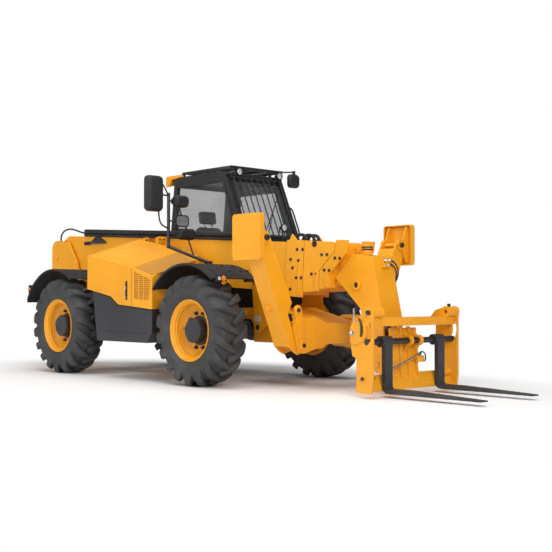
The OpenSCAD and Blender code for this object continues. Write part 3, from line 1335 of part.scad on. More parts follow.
// Sole outline across the machine's length, with round corners
module sole_shape(grow) {
  w = foot_len / 2 - sole_r;
  h = foot_h / 2 - sole_r;
  polygon([
    each arc_points([w, h], sole_r + grow, 0, 90, 4),
      each arc_points([-w, h], sole_r + grow, 90, 180, 4),
    each arc_points([-w, -h], sole_r + grow, 180, 270, 4),
      each arc_points([w, -h], sole_r + grow, 270, 360, 4)
  ]);
}
module foot() color(yellow) {
  mid_z = foot_at[1] + 5;
  z0 = mid_z - foot_h / 2;
  translate([leg_mid_x, sole_y + sole_t, mid_z]) rotate([90, 0, 0]) {
    linear_extrude(sole_t) sole_shape(0);
    // turned edge round the sole
    linear_extrude(60) difference() {
      sole_shape(0);
      sole_shape(-14);
    }
  }
  for (x = [leg_x0 - side_gap - foot_plate, leg_x1 + side_gap]) difference() {
    yz_plate([
      [sole_y + 1, z0 + 25], [sole_y + 1, z0 + foot_h - 25], [sole_y - 45, z0 + foot_h - 25],
      foot_at + [30, 65],
      foot_at + [-35, 55], foot_at + [-55, 0], foot_at + [-35, -55], foot_at + [25, -70],
        [sole_y - 45, z0 + 25]
    ], x, x + foot_plate);
    x_cyl(foot_pin_d, foot_at[0], foot_at[1], x - 1, x + foot_plate + 1);
  }
}
leg_eye_yz = leg_pivot + [leg_eye[0] * cos(leg_angle) - leg_eye[1] * sin(leg_angle),
  leg_eye[0] * sin(leg_angle) + leg_eye[1] * cos(leg_angle)];
module leg_aim() {
  run = leg_eye_yz - leg_ram;
  translate([leg_mid_x, leg_ram[0], leg_ram[1]]) rotate([0, 0, 90]) rotate([0,
    -atan2(run[1], run[0]), 0]) children();
}
leg_ram_len = norm(leg_eye_yz - leg_ram);
module leg_barrel() color(black) leg_aim() ram_barrel(95, leg_pin_d, leg_ram_len - 110, 100);
module leg_rod() color(steel) leg_aim() ram_rod(95, 130, leg_ram_len, 84, 100);

placed() chassis_frame();
placed() counterweight();
placed() axle(front_x);  // front_axle
placed() axle(rear_x);  // rear_axle
placed() wheel_side(front_x, -1) knuckle();  // knuckle_fr
placed() wheel_side(front_x, 1) knuckle();  // knuckle_fl
placed() wheel_side(rear_x, -1) knuckle();  // knuckle_rr
placed() wheel_side(rear_x, 1) knuckle();  // knuckle_rl
placed() wheel_side(front_x, -1) rim();  // rim_fr
placed() wheel_side(front_x, 1) rim();  // rim_fl
placed() wheel_side(rear_x, -1) rim();  // rim_rr
placed() wheel_side(rear_x, 1) rim();  // rim_rl
placed() wheel_side(front_x, -1) hub();  // hub_fr
placed() wheel_side(front_x, -1) tyre();  // tyre_fr
placed() wheel_side(front_x, 1) hub();  // hub_fl
placed() wheel_side(front_x, 1) tyre();  // tyre_fl
placed() wheel_side(rear_x, -1) hub();  // hub_rr
placed() wheel_side(rear_x, -1) tyre();  // tyre_rr
placed() wheel_side(rear_x, 1) hub();  // hub_rl
placed() wheel_side(rear_x, 1) tyre();  // tyre_rl
placed() engine_block();
placed() engine_cover();
placed() engine_skirt();
placed() side_tank();
placed() front_mudguards();
placed() rear_mudguards();
placed() cab_frame();
placed() cab_roof();
placed() cab_glass();
placed() cab_door();
placed() door_glass();
placed() roof_guard();
placed() seat();
placed() controls();
placed() mirror_stand();
placed() mirrors();
placed() lamps();
placed() boom_outer();
placed() hose_cover();
placed() tail_hose();
placed() boom_second();
placed() boom_third();
placed() boom_nose();
placed() nose_hoses();
placed() lift_barrel();
placed() lift_rod();
placed() tilt_barrel();
placed() tilt_rod();
placed() carriage();
placed() fork_shaft();
placed() fork(-fork_spread / 2);  // fork_right
placed() fork(fork_spread / 2);  // fork_left
placed() mirror([0, 1, 0]) leg();  // leg_right
placed() leg();  // leg_left
placed() mirror([0, 1, 0]) foot();  // foot_right
placed() foot();  // foot_left
placed() mirror([0, 1, 0]) leg_barrel();  // leg_barrel_right
placed() leg_barrel();  // leg_barrel_left
placed() mirror([0, 1, 0]) leg_rod();  // leg_rod_right
placed() leg_rod();  // leg_rod_left
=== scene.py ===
import json
import math

import bmesh
import bpy
from mathutils import Matrix, Vector

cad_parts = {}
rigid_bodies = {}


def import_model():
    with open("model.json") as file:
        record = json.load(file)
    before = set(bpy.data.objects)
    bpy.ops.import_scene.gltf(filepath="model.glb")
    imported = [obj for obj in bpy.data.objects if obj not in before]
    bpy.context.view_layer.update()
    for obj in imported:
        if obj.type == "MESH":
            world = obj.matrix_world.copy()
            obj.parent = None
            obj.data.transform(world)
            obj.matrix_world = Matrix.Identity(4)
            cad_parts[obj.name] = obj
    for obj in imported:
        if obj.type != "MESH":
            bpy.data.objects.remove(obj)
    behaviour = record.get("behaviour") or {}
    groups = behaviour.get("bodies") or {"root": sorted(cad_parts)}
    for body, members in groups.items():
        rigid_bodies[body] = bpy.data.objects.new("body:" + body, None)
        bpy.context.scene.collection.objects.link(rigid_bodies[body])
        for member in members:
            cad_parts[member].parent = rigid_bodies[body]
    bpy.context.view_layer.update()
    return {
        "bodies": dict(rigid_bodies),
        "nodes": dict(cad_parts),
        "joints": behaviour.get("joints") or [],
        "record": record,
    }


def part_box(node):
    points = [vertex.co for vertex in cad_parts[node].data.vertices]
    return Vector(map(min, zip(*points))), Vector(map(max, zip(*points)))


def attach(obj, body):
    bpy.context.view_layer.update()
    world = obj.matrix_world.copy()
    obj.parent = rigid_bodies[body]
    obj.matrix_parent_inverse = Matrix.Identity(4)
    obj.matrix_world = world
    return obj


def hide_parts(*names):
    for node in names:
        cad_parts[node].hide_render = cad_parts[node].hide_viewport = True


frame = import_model()
nodes = frame["nodes"]
joints = {j["name"]: j for j in frame["joints"]}
scene = bpy.context.scene
print("frame loaded:", len(nodes), "nodes")

# the frame's origin is at mid length; places below are measured from the ground under the front axle
axleHalf = 0.16
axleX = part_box("front_axle")[0].x + axleHalf


def at(x, y, z):
    return Vector((x + axleX, y, z))


# camera and stage

view = {"spot": (8.448, -7.684, 0.9505), "yaw": 137.02, "pitch": 1.36, "focalPx": 980.57, "framePx": 552,
        "sensor": 36, "farEnd": 200}


def placeCamera():
    cam = bpy.data.cameras.new("photoCamera")
    cam.sensor_width = view["sensor"]
    cam.lens = view["focalPx"] / view["framePx"] * cam.sensor_width
    cam.clip_end = view["farEnd"]
    obj = bpy.data.objects.new("photoCamera", cam)
    yaw, pitch = math.radians(view["yaw"]), math.radians(view["pitch"])
    look = Vector((math.cos(yaw) * math.cos(pitch), math.sin(yaw) * math.cos(pitch), math.sin(pitch)))
    obj.location = at(*view["spot"])
    obj.rotation_euler = look.to_track_quat("-Z", "Y").to_euler()
    scene.collection.objects.link(obj)
    scene.camera = obj


placeCamera()


# node work: a wrapped socket takes operators, and add makes any other node

class Flow:
    def __init__(self, work, socket):
        self.work, self.socket = work, socket

    def math(self, operation, other=None, swap=False):
        pair = [self, other] if other is not None else [self]
        if swap:
            pair.reverse()
        return self.work.add("ShaderNodeMath", {"operation": operation}, dict(enumerate(pair)))

    def __add__(self, other):
        return self.math("ADD", other)

    def __radd__(self, other):
        return self.math("ADD", other)

    def __sub__(self, other):
        return self.math("SUBTRACT", other)

    def __rsub__(self, other):
        return self.math("SUBTRACT", other, True)

    def __mul__(self, other):
        return self.math("MULTIPLY", other)

    def __rmul__(self, other):
        return self.math("MULTIPLY", other)

    def __truediv__(self, other):
        return self.math("DIVIDE", other)

    def __rtruediv__(self, other):
        return self.math("DIVIDE", other, True)


class NodeWork:
    def __init__(self, tree):
        self.tree = tree

    def add(self, kind, settings=None, inputs=None, out=None):
        node = self.tree.nodes.new(kind)
        for key, value in (settings or {}).items():
            setattr(node, key, value)
        for key, value in (inputs or {}).items():
            for part in value if isinstance(value, list) else [value]:
                self.feed(node.inputs[key], part)
        if out is None:
            return Flow(self, next(s for s in node.outputs if s.enabled))
        return Flow(self, node.outputs[out])

    def feed(self, socket, value):
        if isinstance(value, Flow):
            self.tree.links.new(value.socket, socket)
        else:
            socket.default_value = value


class Paint(NodeWork):
    def __init__(self, name):
        self.material = bpy.data.materials.new(name)
        self.material.use_nodes = True
        super().__init__(self.material.node_tree)
        self.shader = self.tree.nodes["Principled BSDF"]
        self.output = self.tree.nodes["Material Output"]
        self.coords = None

    def set(self, **values):
        for name, value in values.items():
            self.feed(self.shader.inputs[name.replace("_", " ")], value)
        return self

    def place(self):
        if self.coords is None:
            self.coords = self.add("ShaderNodeTexCoord", out=3)
        return self.coords

    def noise(self, scale, detail=4.0):
        return self.add("ShaderNodeTexNoise", None, {
            "Vector": self.place(), "Scale": scale, "Detail": detail, "Roughness": 0.55}, out=0)

    def axis(self, index):
        return self.add("ShaderNodeSeparateXYZ", None, {0: self.place()}, out=index)

    def spread(self, value, low, high):
        return self.add("ShaderNodeMapRange", {"interpolation_type": "SMOOTHSTEP"}, {
            "Value": value, "From Min": low, "From Max": high}, out=0)

    def mix(self, share, first, second):
        return self.add("ShaderNodeMix", {"data_type": "RGBA"}, {0: share, 6: first, 7: second}, out=2)

    def bump(self, height, strength, distance, edge=0.0):
        # edge is the radius that hard folds are softened to
        inputs = {"Strength": strength, "Distance": distance, "Height": height}
        if edge:
            inputs["Normal"] = self.add("ShaderNodeBevel", {"samples": 6}, {"Radius": edge})
        return self.add("ShaderNodeBump", None, inputs)

    def edgeWearAndHighlight(self, radius):
        # 1 where the surface folds sharply, 0 on the flat; on yellow paint it places a painted highlight, on
        # black paint the bare wear
        soft = self.add("ShaderNodeBevel", {"samples": 6}, {"Radius": radius})
        flat = self.add("ShaderNodeNewGeometry", out=1)
        near = self.add("ShaderNodeVectorMath", {"operation": "DOT_PRODUCT"}, {0: soft, 1: flat}, out=1)
        return self.spread(near, 0.995, 0.80)


class Growth(NodeWork):
    def __init__(self, name, sizes, count=False):
        super().__init__(bpy.data.node_groups.new(name, "GeometryNodeTree"))
        door = self.tree.interface
        door.new_socket("Source", in_out="INPUT", socket_type="NodeSocketGeometry")
        for size in sizes:
            door.new_socket(size, in_out="INPUT", socket_type="NodeSocketFloat")
        if count:
            door.new_socket("Count", in_out="INPUT", socket_type="NodeSocketInt")
        door.new_socket("Look", in_out="INPUT", socket_type="NodeSocketMaterial")
        door.new_socket("Result", in_out="OUTPUT", socket_type="NodeSocketGeometry")
        entry = self.tree.nodes.new("NodeGroupInput")
        self.given = {s.name: Flow(self, s) for s in entry.outputs if s.name}
        self.exit = self.tree.nodes.new("NodeGroupOutput")

    def end(self, geometry):
        real = self.add("GeometryNodeRealizeInstances", None, {0: geometry})
        dressed = self.add("GeometryNodeSetMaterial", None, {
            "Geometry": real, "Material": self.given["Look"]})
        self.tree.links.new(dressed.socket, self.exit.inputs[0])
        return self

    def grow(self, source, values):
        obj = bpy.data.objects.new(source.name, source)
        scene.collection.objects.link(obj)
        modifier = obj.modifiers.new("grow", "NODES")
        modifier.node_group = self.tree
        for item in self.tree.interface.items_tree:
            if item.in_out == "INPUT" and item.name in values:
                modifier[item.identifier] = values[item.name]
        graph = bpy.context.evaluated_depsgraph_get()
        mesh = bpy.data.meshes.new_from_object(obj.evaluated_get(graph), depsgraph=graph)
        obj.modifiers.remove(modifier)
        bpy.data.objects.remove(obj)
        return mesh


def rgb(r, g, b):
    return (r, g, b, 1.0)


finish = {
    "yellow": rgb(0.87, 0.375, 0.012),
    "yellowDeep": rgb(0.78, 0.315, 0.008),
    # a lighter yellow: painted highlight for sharp edges
    "yellowEdgeHighlight": rgb(0.93, 0.56, 0.10),
    "bareEdge": rgb(0.13, 0.13, 0.135),
    "black": rgb(0.010, 0.010, 0.011),
    "blackPale": rgb(0.016, 0.016, 0.017),
    "grey": rgb(0.038, 0.038, 0.041),
    "greyDeep": rgb(0.028, 0.028, 0.031),
    "plastic": rgb(0.012, 0.012, 0.0125),
    "plasticPale": rgb(0.022, 0.022, 0.023),
    "rubber": rgb(0.035, 0.035, 0.037),
    "rubberPale": rgb(0.060, 0.060, 0.062),
    "hose": rgb(0.014, 0.014, 0.015),
    "hosePale": rgb(0.028, 0.028, 0.029),
    "dust": rgb(0.16, 0.15, 0.135),
    "steel": rgb(0.62, 0.62, 0.63),
    "steelDull": rgb(0.50, 0.50, 0.52),
    "glass": rgb(0.10, 0.115, 0.12),
    "glassSmear": rgb(0.20, 0.21, 0.215),
    "mirror": rgb(0.80, 0.81, 0.82),
    "mirrorHaze": rgb(0.70, 0.71, 0.72),
    "cloth": rgb(0.030, 0.031, 0.035),
    "clothPale": rgb(0.055, 0.056, 0.062),
    "lens": rgb(0.55, 0.56, 0.57),
    "lensPale": rgb(0.78, 0.79, 0.80),
    "amber": rgb(0.85, 0.26, 0.012),
    "red": rgb(0.55, 0.020, 0.015),
    "enamel": rgb(0.50, 0.51, 0.52),
    "enamelDull": rgb(0.42, 0.43, 0.44),
    "screen": rgb(0.70, 0.30, 0.012),
    # a shaded yellow: painted shade for the screen's openings
    "screenHoleShade": rgb(0.20, 0.085, 0.008),
}


def grimeMask(p, top):
    # thin road dust that fades out upwards
    return p.spread(p.axis(2), top, 0.05) * p.spread(p.noise(3.0, 6.0), 0.35, 0.75)


def paintYellow():
    p = Paint("paintYellow")
    cloud = p.spread(p.noise(0.9, 3.0), 0.3, 0.7)
    coat = p.mix(cloud, finish["yellow"], finish["yellowDeep"])
    coat = p.mix(grimeMask(p, 0.9) * 0.12, coat, finish["dust"])
    # painted highlight: a lighter yellow along the sharp folds, where light catches the edges
    edge = p.edgeWearAndHighlight(0.009) * p.spread(p.noise(11.0, 5.0), 0.36, 0.58)
    coat = p.mix(edge * 0.45, coat, finish["yellowEdgeHighlight"])
    p.set(Base_Color=coat, Roughness=0.36 + 0.12 * p.noise(14.0, 5.0))
    p.set(Coat_Weight=0.10, Coat_Roughness=0.10, Specular_IOR_Level=0.32)
    p.set(Normal=p.bump(p.noise(260.0, 2.0), 0.05, 0.002, 0.007))
    return p.material


def paintBlack():
    p = Paint("paintBlack")
    tone = p.mix(p.spread(p.noise(2.0), 0.35, 0.7), finish["black"], finish["blackPale"])
    edge = p.edgeWearAndHighlight(0.007) * p.spread(p.noise(16.0, 5.0), 0.38, 0.60)
    tone = p.mix(edge * 0.5, tone, finish["bareEdge"])
    p.set(Base_Color=tone, Roughness=0.36 + 0.12 * p.noise(20.0, 5.0), Coat_Weight=0.15)
    p.set(Normal=p.bump(p.noise(320.0, 2.0), 0.06, 0.002, 0.005))
    return p.material


def paintGrey():
    p = Paint("paintGrey")
    tone = p.mix(p.spread(p.noise(1.6), 0.3, 0.7), finish["grey"], finish["greyDeep"])
    tone = p.mix(grimeMask(p, 0.7) * 0.10, tone, finish["dust"])
    p.set(Base_Color=tone, Roughness=0.42 + 0.12 * p.noise(24.0, 5.0), Specular_IOR_Level=0.36)
    p.set(Normal=p.bump(p.noise(240.0, 3.0), 0.08, 0.002, 0.007))
    return p.material


def mouldedPlastic():
    p = Paint("mouldedPlastic")
    tone = p.mix(p.spread(p.noise(3.0), 0.3, 0.7), finish["plastic"], finish["plasticPale"])
    grain = p.add("ShaderNodeTexVoronoi", None, {"Vector": p.place(), "Scale": 420.0})
    p.set(Base_Color=tone, Roughness=0.50 + 0.14 * p.noise(40.0), Specular_IOR_Level=0.34)
    p.set(Normal=p.bump(grain, 0.25, 0.0015))
    return p.material


def tyreRubber():
    p = Paint("tyreRubber")
    tone = p.mix(p.spread(p.noise(5.0, 6.0), 0.4, 0.75), finish["rubber"], finish["rubberPale"])
    p.set(Base_Color=tone, Roughness=0.62 + 0.20 * p.noise(18.0, 6.0))
    p.set(Normal=p.bump(p.noise(120.0, 5.0), 0.22, 0.004))
    return p.material


def groundSteel():
    p = Paint("groundSteel")
    streak = p.noise(60.0, 4.0)
    p.set(Base_Color=p.mix(streak, finish["steel"], finish["steelDull"]), Metallic=1.0)
    p.set(Roughness=0.16 + 0.16 * streak)
    return p.material


def tintedGlass():
    p = Paint("tintedGlass")
    smear = p.spread(p.noise(2.2, 4.0), 0.35, 0.75)
    p.set(Base_Color=p.mix(smear, finish["glass"], finish["glassSmear"]), Roughness=0.04 + 0.05 * smear)
    p.set(Alpha=0.24 + 0.06 * smear, IOR=1.5)
    return p.material


def seatCloth():
    p = Paint("seatCloth")
    weave = p.add("ShaderNodeTexWave", {"wave_type": "BANDS", "bands_direction": "DIAGONAL"},
                  {"Vector": p.place(), "Scale": 90.0, "Distortion": 2.0, "Detail": 2.0}, out=1)
    p.set(Base_Color=p.mix(weave, finish["cloth"], finish["clothPale"]), Roughness=0.86)
    p.set(Normal=p.bump(weave, 0.4, 0.002))
    return p.material


def lampLens():
    p = Paint("lampLens")
    ribs = p.add("ShaderNodeTexWave", {"wave_type": "BANDS", "bands_direction": "Y"},
                 {"Vector": p.place(), "Scale": 60.0}, out=1)
    p.set(Base_Color=p.mix(ribs, finish["lens"], finish["lensPale"]), Roughness=0.12 + 0.1 * ribs)
    p.set(Metallic=0.4, Normal=p.bump(ribs, 0.3, 0.002), Coat_Weight=0.8)
    return p.material


surfaces = {
    "paint_yellow": paintYellow(),
    "paint_black": paintBlack(),
    "paint_grey": paintGrey(),
    "tyre": tyreRubber(),
    "steel": groundSteel(),
    "glass": tintedGlass(),
    "plastic": mouldedPlastic(),
    "cloth": seatCloth(),
    "lamp": lampLens(),
}
for row in frame["record"]["subparts"]:
    mesh = nodes[row["node"]].data
    mesh.materials.clear()
    mesh.materials.append(surfaces[row["material_slot"]])
print("finishes set:", len(surfaces))


# solids: a Form collects the solids of one piece in its own frame, then becomes a mesh

ground = Matrix.Translation((axleX, 0, 0))
boomSpot = joints["boom_lift"]["pos_m"]
boomMid = (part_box("boom_outer")[0].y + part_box("boom_outer")[1].y) / 2
boomDroop = math.radians(3.5)  # nose down
boomFrame = Matrix.Translation((boomSpot[0], boomMid, boomSpot[2])) @ Matrix.Rotation(boomDroop, 4, "Y")
acrossBoom = Matrix.Translation((axleX, boomMid, 0))
axisOrder = {"x": (2, 0, 1), "y": (0, 2, 1)}  # where a prism's outline and length go
sortWay = Vector((1.0, 0.6180, 0.3247))  # slanted, so that points hardly ever lie level along it


def dress(name, mesh, body, slot, look=None, replaced=(), sharp=32):
    if not mesh.materials:
        mesh.materials.append(look or surfaces[slot])
    mesh.polygons.foreach_set("use_smooth", [True] * len(mesh.polygons))
    mesh.set_sharp_from_angle(angle=math.radians(sharp))
    obj = bpy.data.objects.new(name, mesh)
    scene.collection.objects.link(obj)
    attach(obj, body)
    if replaced:
        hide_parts(*replaced)
    return obj


class Form:
    def __init__(self, frame=ground):
        self.bm, self.frame, self.bevelled = bmesh.new(), frame, False

    def rows(self, rings, loop=False):
        grid = [[self.bm.verts.new(self.frame @ Vector(p)) for p in ring] for ring in rings]
        fresh = [v for ring in grid for v in ring]
        if loop:
            grid.append(grid[0])
        for low, high in zip(grid, grid[1:]):
            for i in range(len(low)):
                j = (i + 1) % len(low)
                self.bm.faces.new((low[i], low[j], high[j], high[i]))
        if not loop:
            self.bm.faces.new(grid[0][::-1])
            self.bm.faces.new(grid[-1])
        return fresh

    def lathe(self, spot, axis, profile, steps=32, loop=False):
        turn = Vector(axis).to_track_quat("Z", "Y").to_matrix()
        angles = [2 * math.pi * k / steps for k in range(steps)]
        self.rows([[Vector(spot) + turn @ Vector((r * math.cos(t), r * math.sin(t), h)) for t in angles]
                   for r, h in profile], loop)
        return self

    def tube(self, a, b, d, edge=0.002, steps=20):
        run = Vector(b) - Vector(a)
        r, h = d / 2, run.length
        return self.lathe(a, run, [(r - edge, 0), (r, edge), (r, h - edge), (r - edge, h)], steps)

    def sweep(self, points, d, steps=10, loop=False):
        points = [Vector(p) for p in points]
        last, side, rings = len(points) - 1, None, []
        for i, p in enumerate(points):
            ahead = points[(i + 1) % len(points)] if loop else points[min(i + 1, last)]
            behind = points[i - 1] if loop else points[max(i - 1, 0)]
            run = (ahead - behind).normalized()
            side = run.orthogonal() if side is None else side - run * side.dot(run)
            side.normalize()
            up = run.cross(side)
            turns = [2 * math.pi * k / steps for k in range(steps)]
            rings.append([p + (side * math.cos(t) + up * math.sin(t)) * d / 2 for t in turns])
        self.rows(rings, loop)
        return self

    def bend(self, points, d, sides, steps=4):
        return self.sweep(smoothRun([Vector(p) for p in points], steps), d, sides)

    def prism(self, outline, along, low, high, edge=0.0, steps=2):
        order = axisOrder[along]
        rings = [[tuple((a, b, level)[k] for k in order) for a, b in outline] for level in (low, high)]
        fresh = self.rows(rings)
        if edge:
            folds = list(dict.fromkeys(e for v in fresh for e in v.link_edges))
            bmesh.ops.bevel(self.bm, geom=folds, offset=edge, segments=steps, profile=0.6,
                            affect="EDGES", clamp_overlap=True)
            self.bevelled = True
        return self

    def box(self, low, high, edge=0.004, steps=2):
        (x0, y0, z0), (x1, y1, z1) = low, high
        return self.prism([(x0, z0), (x1, z0), (x1, z1), (x0, z1)], "y", y0, y1, edge, steps)

    def mesh(self, name):
        bmesh.ops.recalc_face_normals(self.bm, faces=self.bm.faces)
        if self.bevelled:  # a bevel leaves its new points and faces in no fixed order
            self.bm.verts.sort(key=lambda v: v.co.dot(sortWay))
            self.bm.faces.sort(key=lambda f: f.calc_center_median().dot(sortWay))
        mesh = bpy.data.meshes.new(name)
        self.bm.to_mesh(mesh)
        self.bm.free()
        return mesh

    def done(self, name, body, slot, look=None, replaced=(), sharp=32):
        bmesh.ops.remove_doubles(self.bm, verts=self.bm.verts, dist=1e-5)
        return dress(name, self.mesh(name), body, slot, look, replaced, sharp)


def smoothRun(points, steps):
    # a curve through every point, with the given steps between two points
    ends = [points[0] * 2 - points[1]] + points + [points[-1] * 2 - points[-2]]
    run = []
    for a, b, c, d in zip(ends, ends[1:], ends[2:], ends[3:]):
        for k in range(steps):
            t = k / steps
            run.append(((b * 2) + (c - a) * t + (a * 2 - b * 5 + c * 4 - d) * t ** 2
                        + (b * 3 - a - c * 3 + d) * t ** 3) / 2)
    return run + [points[-1]]


def roundRect(w, h, r, steps=4):
    spots = []
    for sx, sy, start in ((1, 1, 0), (-1, 1, 90), (-1, -1, 180), (1, -1, 270)):
        for k in range(steps + 1):
            t = math.radians(start + 90 * k / steps)
            spots.append((sx * (w / 2 - r) + r * math.cos(t), sy * (h / 2 - r) + r * math.sin(t)))
    return spots


# bolts: hexagon heads on washers, set on points that know which way they face

def boltTree():
    g = Growth("boltHeads", ["Across", "Height", "Washer"])
    across, height, washer = g.given["Across"], g.given["Height"], g.given["Washer"]
    plate = height * 0.3
    ring = g.add("GeometryNodeMeshCylinder", None, {
        "Vertices": 16, "Radius": washer / 2, "Depth": plate}, out=0)
    head = g.add("GeometryNodeMeshCylinder", None, {
        "Vertices": 6, "Radius": across * 0.577, "Depth": height}, out=0)
    crown = g.add("GeometryNodeMeshCone", None, {
        "Vertices": 12, "Radius Bottom": across * 0.5, "Radius Top": across * 0.36, "Depth": plate}, out=0)
    stack = []
    for part, lift in ((ring, plate / 2), (head, plate + height / 2), (crown, plate + height)):
        up = g.add("ShaderNodeCombineXYZ", None, {2: lift})
        stack.append(g.add("GeometryNodeTransform", None, {"Geometry": part, "Translation": up}))
    bolt = g.add("GeometryNodeJoinGeometry", None, {0: stack})
    facing = g.add("GeometryNodeInputNamedAttribute", {"data_type": "FLOAT_VECTOR"}, {"Name": "facing"})
    turn = g.add("FunctionNodeAlignRotationToVector", {"axis": "Z"}, {"Vector": facing})
    return g.end(g.add("GeometryNodeInstanceOnPoints", None, {
        "Points": g.given["Source"], "Instance": bolt, "Rotation": turn}))


boltHeads = boltTree()


def bolts(name, body, slot, spots, size, frame=ground):
    # size is across the flats, head height and washer diameter
    mesh = bpy.data.meshes.new(name)
    mesh.from_pydata([frame @ Vector(p) for p, _ in spots], [], [])
    facing = mesh.attributes.new("facing", "FLOAT_VECTOR", "POINT")
    turn = frame.to_3x3()
    facing.data.foreach_set("vector", [c for _, way in spots for c in turn @ Vector(way)])
    values = dict(zip(("Across", "Height", "Washer"), size), Look=surfaces[slot])
    dress(name, boltHeads.grow(mesh, values), body, slot)


# tyres: a turned casing with curved lugs grown round the axle

tyre = {"lugs": 18, "steps": 108, "flank": 0.014, "round": 0.016, "lugR": 0.61, "crown": (0.5635, 0.0)}
# casing outline from inside by the bead to the tread, as radius and distance from the middle
casing = [(0.530, 0.0), (0.524, 0.110), (0.312, 0.118), (0.336, 0.150), (0.3465, 0.1595), (0.358, 0.166),
          (0.366, 0.1695), (0.372, 0.1685), (0.378, 0.172), (0.400, 0.180), (0.408, 0.1835), (0.416, 0.1835),
          (0.422, 0.182), (0.448, 0.1855), (0.478, 0.1835), (0.505, 0.176), (0.532, 0.160), (0.552, 0.132),
          (0.560, 0.090), (0.563, 0.030)]
# lug stations from the middle outwards: top radius and place, root radius and place, turn, half width
lugRun = [(0.6065, -0.030, 0.556, -0.032, -1.6, 0.020), (0.6100, 0.004, 0.558, 0.002, 0.2, 0.027),
          (0.6100, 0.050, 0.558, 0.046, 2.4, 0.034), (0.6080, 0.098, 0.552, 0.090, 5.0, 0.041),
          (0.6020, 0.140, 0.540, 0.128, 7.4, 0.047), (0.5860, 0.172, 0.516, 0.152, 9.6, 0.052),
          (0.5580, 0.192, 0.498, 0.166, 11.2, 0.056), (0.5230, 0.1985, 0.486, 0.174, 12.3, 0.058),
          (0.4920, 0.1970, 0.474, 0.180, 12.9, 0.056), (0.4660, 0.1880, 0.460, 0.182, 13.2, 0.050)]


def lugTree():
    g = Growth("tyreLugs", [], count=True)
    rail = g.add("GeometryNodePoints", None, {"Count": g.given["Count"]})
    index = g.add("GeometryNodeInputIndex")
    turn = g.add("ShaderNodeCombineXYZ", None, {1: index * (2 * math.pi / g.given["Count"])})
    spin = g.add("FunctionNodeEulerToRotation", None, {0: turn})
    return g.end(g.add("GeometryNodeInstanceOnPoints", None, {
        "Points": rail, "Instance": g.given["Source"], "Rotation": spin}))


lugGrowth = lugTree()


def lugPair(side):
    form, f, r = Form(Matrix()), tyre["flank"], tyre["round"]
    # the second lug of a pair lies half a pitch on, across the tread
    for half, shift in ((1, 0), (-1, 180 / tyre["lugs"])):
        rings = []
        for topR, topY, rootR, rootY, turn, wide in lugRun:
            ring = []
            flank = [(wide + f, 0), (wide + 0.15 * f, 0.78), (wide - 0.3 * r, 0.96), (wide - r, 1)]
            for off, rise in [(-off, rise) for off, rise in flank] + flank[::-1]:
                radius = rootR + (topR - rootR) * rise
                y = rootY + (topY - rootY) * rise
                angle = math.radians(turn + shift) + off / tyre["lugR"]
                ring.append((radius * math.cos(angle), side * half * y, radius * math.sin(angle)))
            rings.append(ring)
        form.rows(rings)
    return form.mesh("lugPair")


wheels = [("front_right", "fr", -1), ("front_left", "fl", 1),
          ("rear_right", "rr", -1), ("rear_left", "rl", 1)]


def wheelCentre(node):
    low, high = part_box("tyre_" + node)
    return (low + high) / 2


def buildTyres():
    for place, node, side in wheels:
        centre = wheelCentre(node)
        form = Form(Matrix.Translation(centre))
        outline = casing + [tyre["crown"]] + [(r, -y) for r, y in reversed(casing[1:])]
        form.lathe((0, 0, 0), (0, 1, 0), outline, tyre["steps"], loop=True)
        lugs = lugGrowth.grow(lugPair(side), {"Count": tyre["lugs"], "Look": surfaces["tyre"]})
        lugs.transform(Matrix.Translation(centre))
        form.bm.from_mesh(lugs)
        bpy.data.meshes.remove(lugs)
        form.done("tyre_lugged_" + node, "wheel_" + place, "tyre", replaced=("tyre_" + node,), sharp=38)


buildTyres()
print("tyres grown")




# wheels: rims with rolled flanges and grooves, nuts on the disc, a valve on the dish

wheelFit = {
    "steps": 96,
    "nuts": 10, "nutR": 0.196, "nutY": 0.0025, "nutSize": (0.030, 0.022, 0.046),
    "valveTurn": 176, "valveR": 0.246, "valveY": 0.014, "valveLean": (0.004, 0.062),
}
# rim outline as radius and distance from the wheel's middle: disc, barrel, flanges, grooves, dish
rimLine = [
    (0.060, 0.002), (0.060, -0.020), (0.213, -0.020), (0.258, 0.008), (0.2955, 0.014), (0.2955, -0.165),
    (0.338, -0.165), (0.340, -0.163), (0.340, -0.153), (0.308, -0.135), (0.308, 0.132), (0.312, 0.138),
    (0.335, 0.150), (0.340, 0.155), (0.340, 0.162), (0.337, 0.165), (0.330, 0.165), (0.326, 0.162),
    (0.322, 0.152), (0.312, 0.142), (0.301, 0.134), (0.297, 0.128), (0.296, 0.110), (0.291, 0.107),
    (0.288, 0.104), (0.288, 0.093), (0.291, 0.090), (0.296, 0.087), (0.296, 0.065), (0.291, 0.062),
    (0.288, 0.059), (0.288, 0.050), (0.284, 0.045), (0.270, 0.036), (0.263, 0.029), (0.254, 0.025),
    (0.247, 0.018), (0.239, 0.014), (0.231, 0.006), (0.224, 0.002),
]
valveLine = [
    (0, 0), (0.013, 0), (0.013, 0.012), (0.008, 0.016), (0.0065, 0.04), (0.0065, 0.043), (0.0085, 0.045),
    (0.0085, 0.060), (0.006, 0.063), (0, 0.063),
]


def onWheel(centre, radius, y, degrees):
    t = math.radians(degrees)
    return centre + Vector((radius * math.cos(t), y, radius * math.sin(t)))


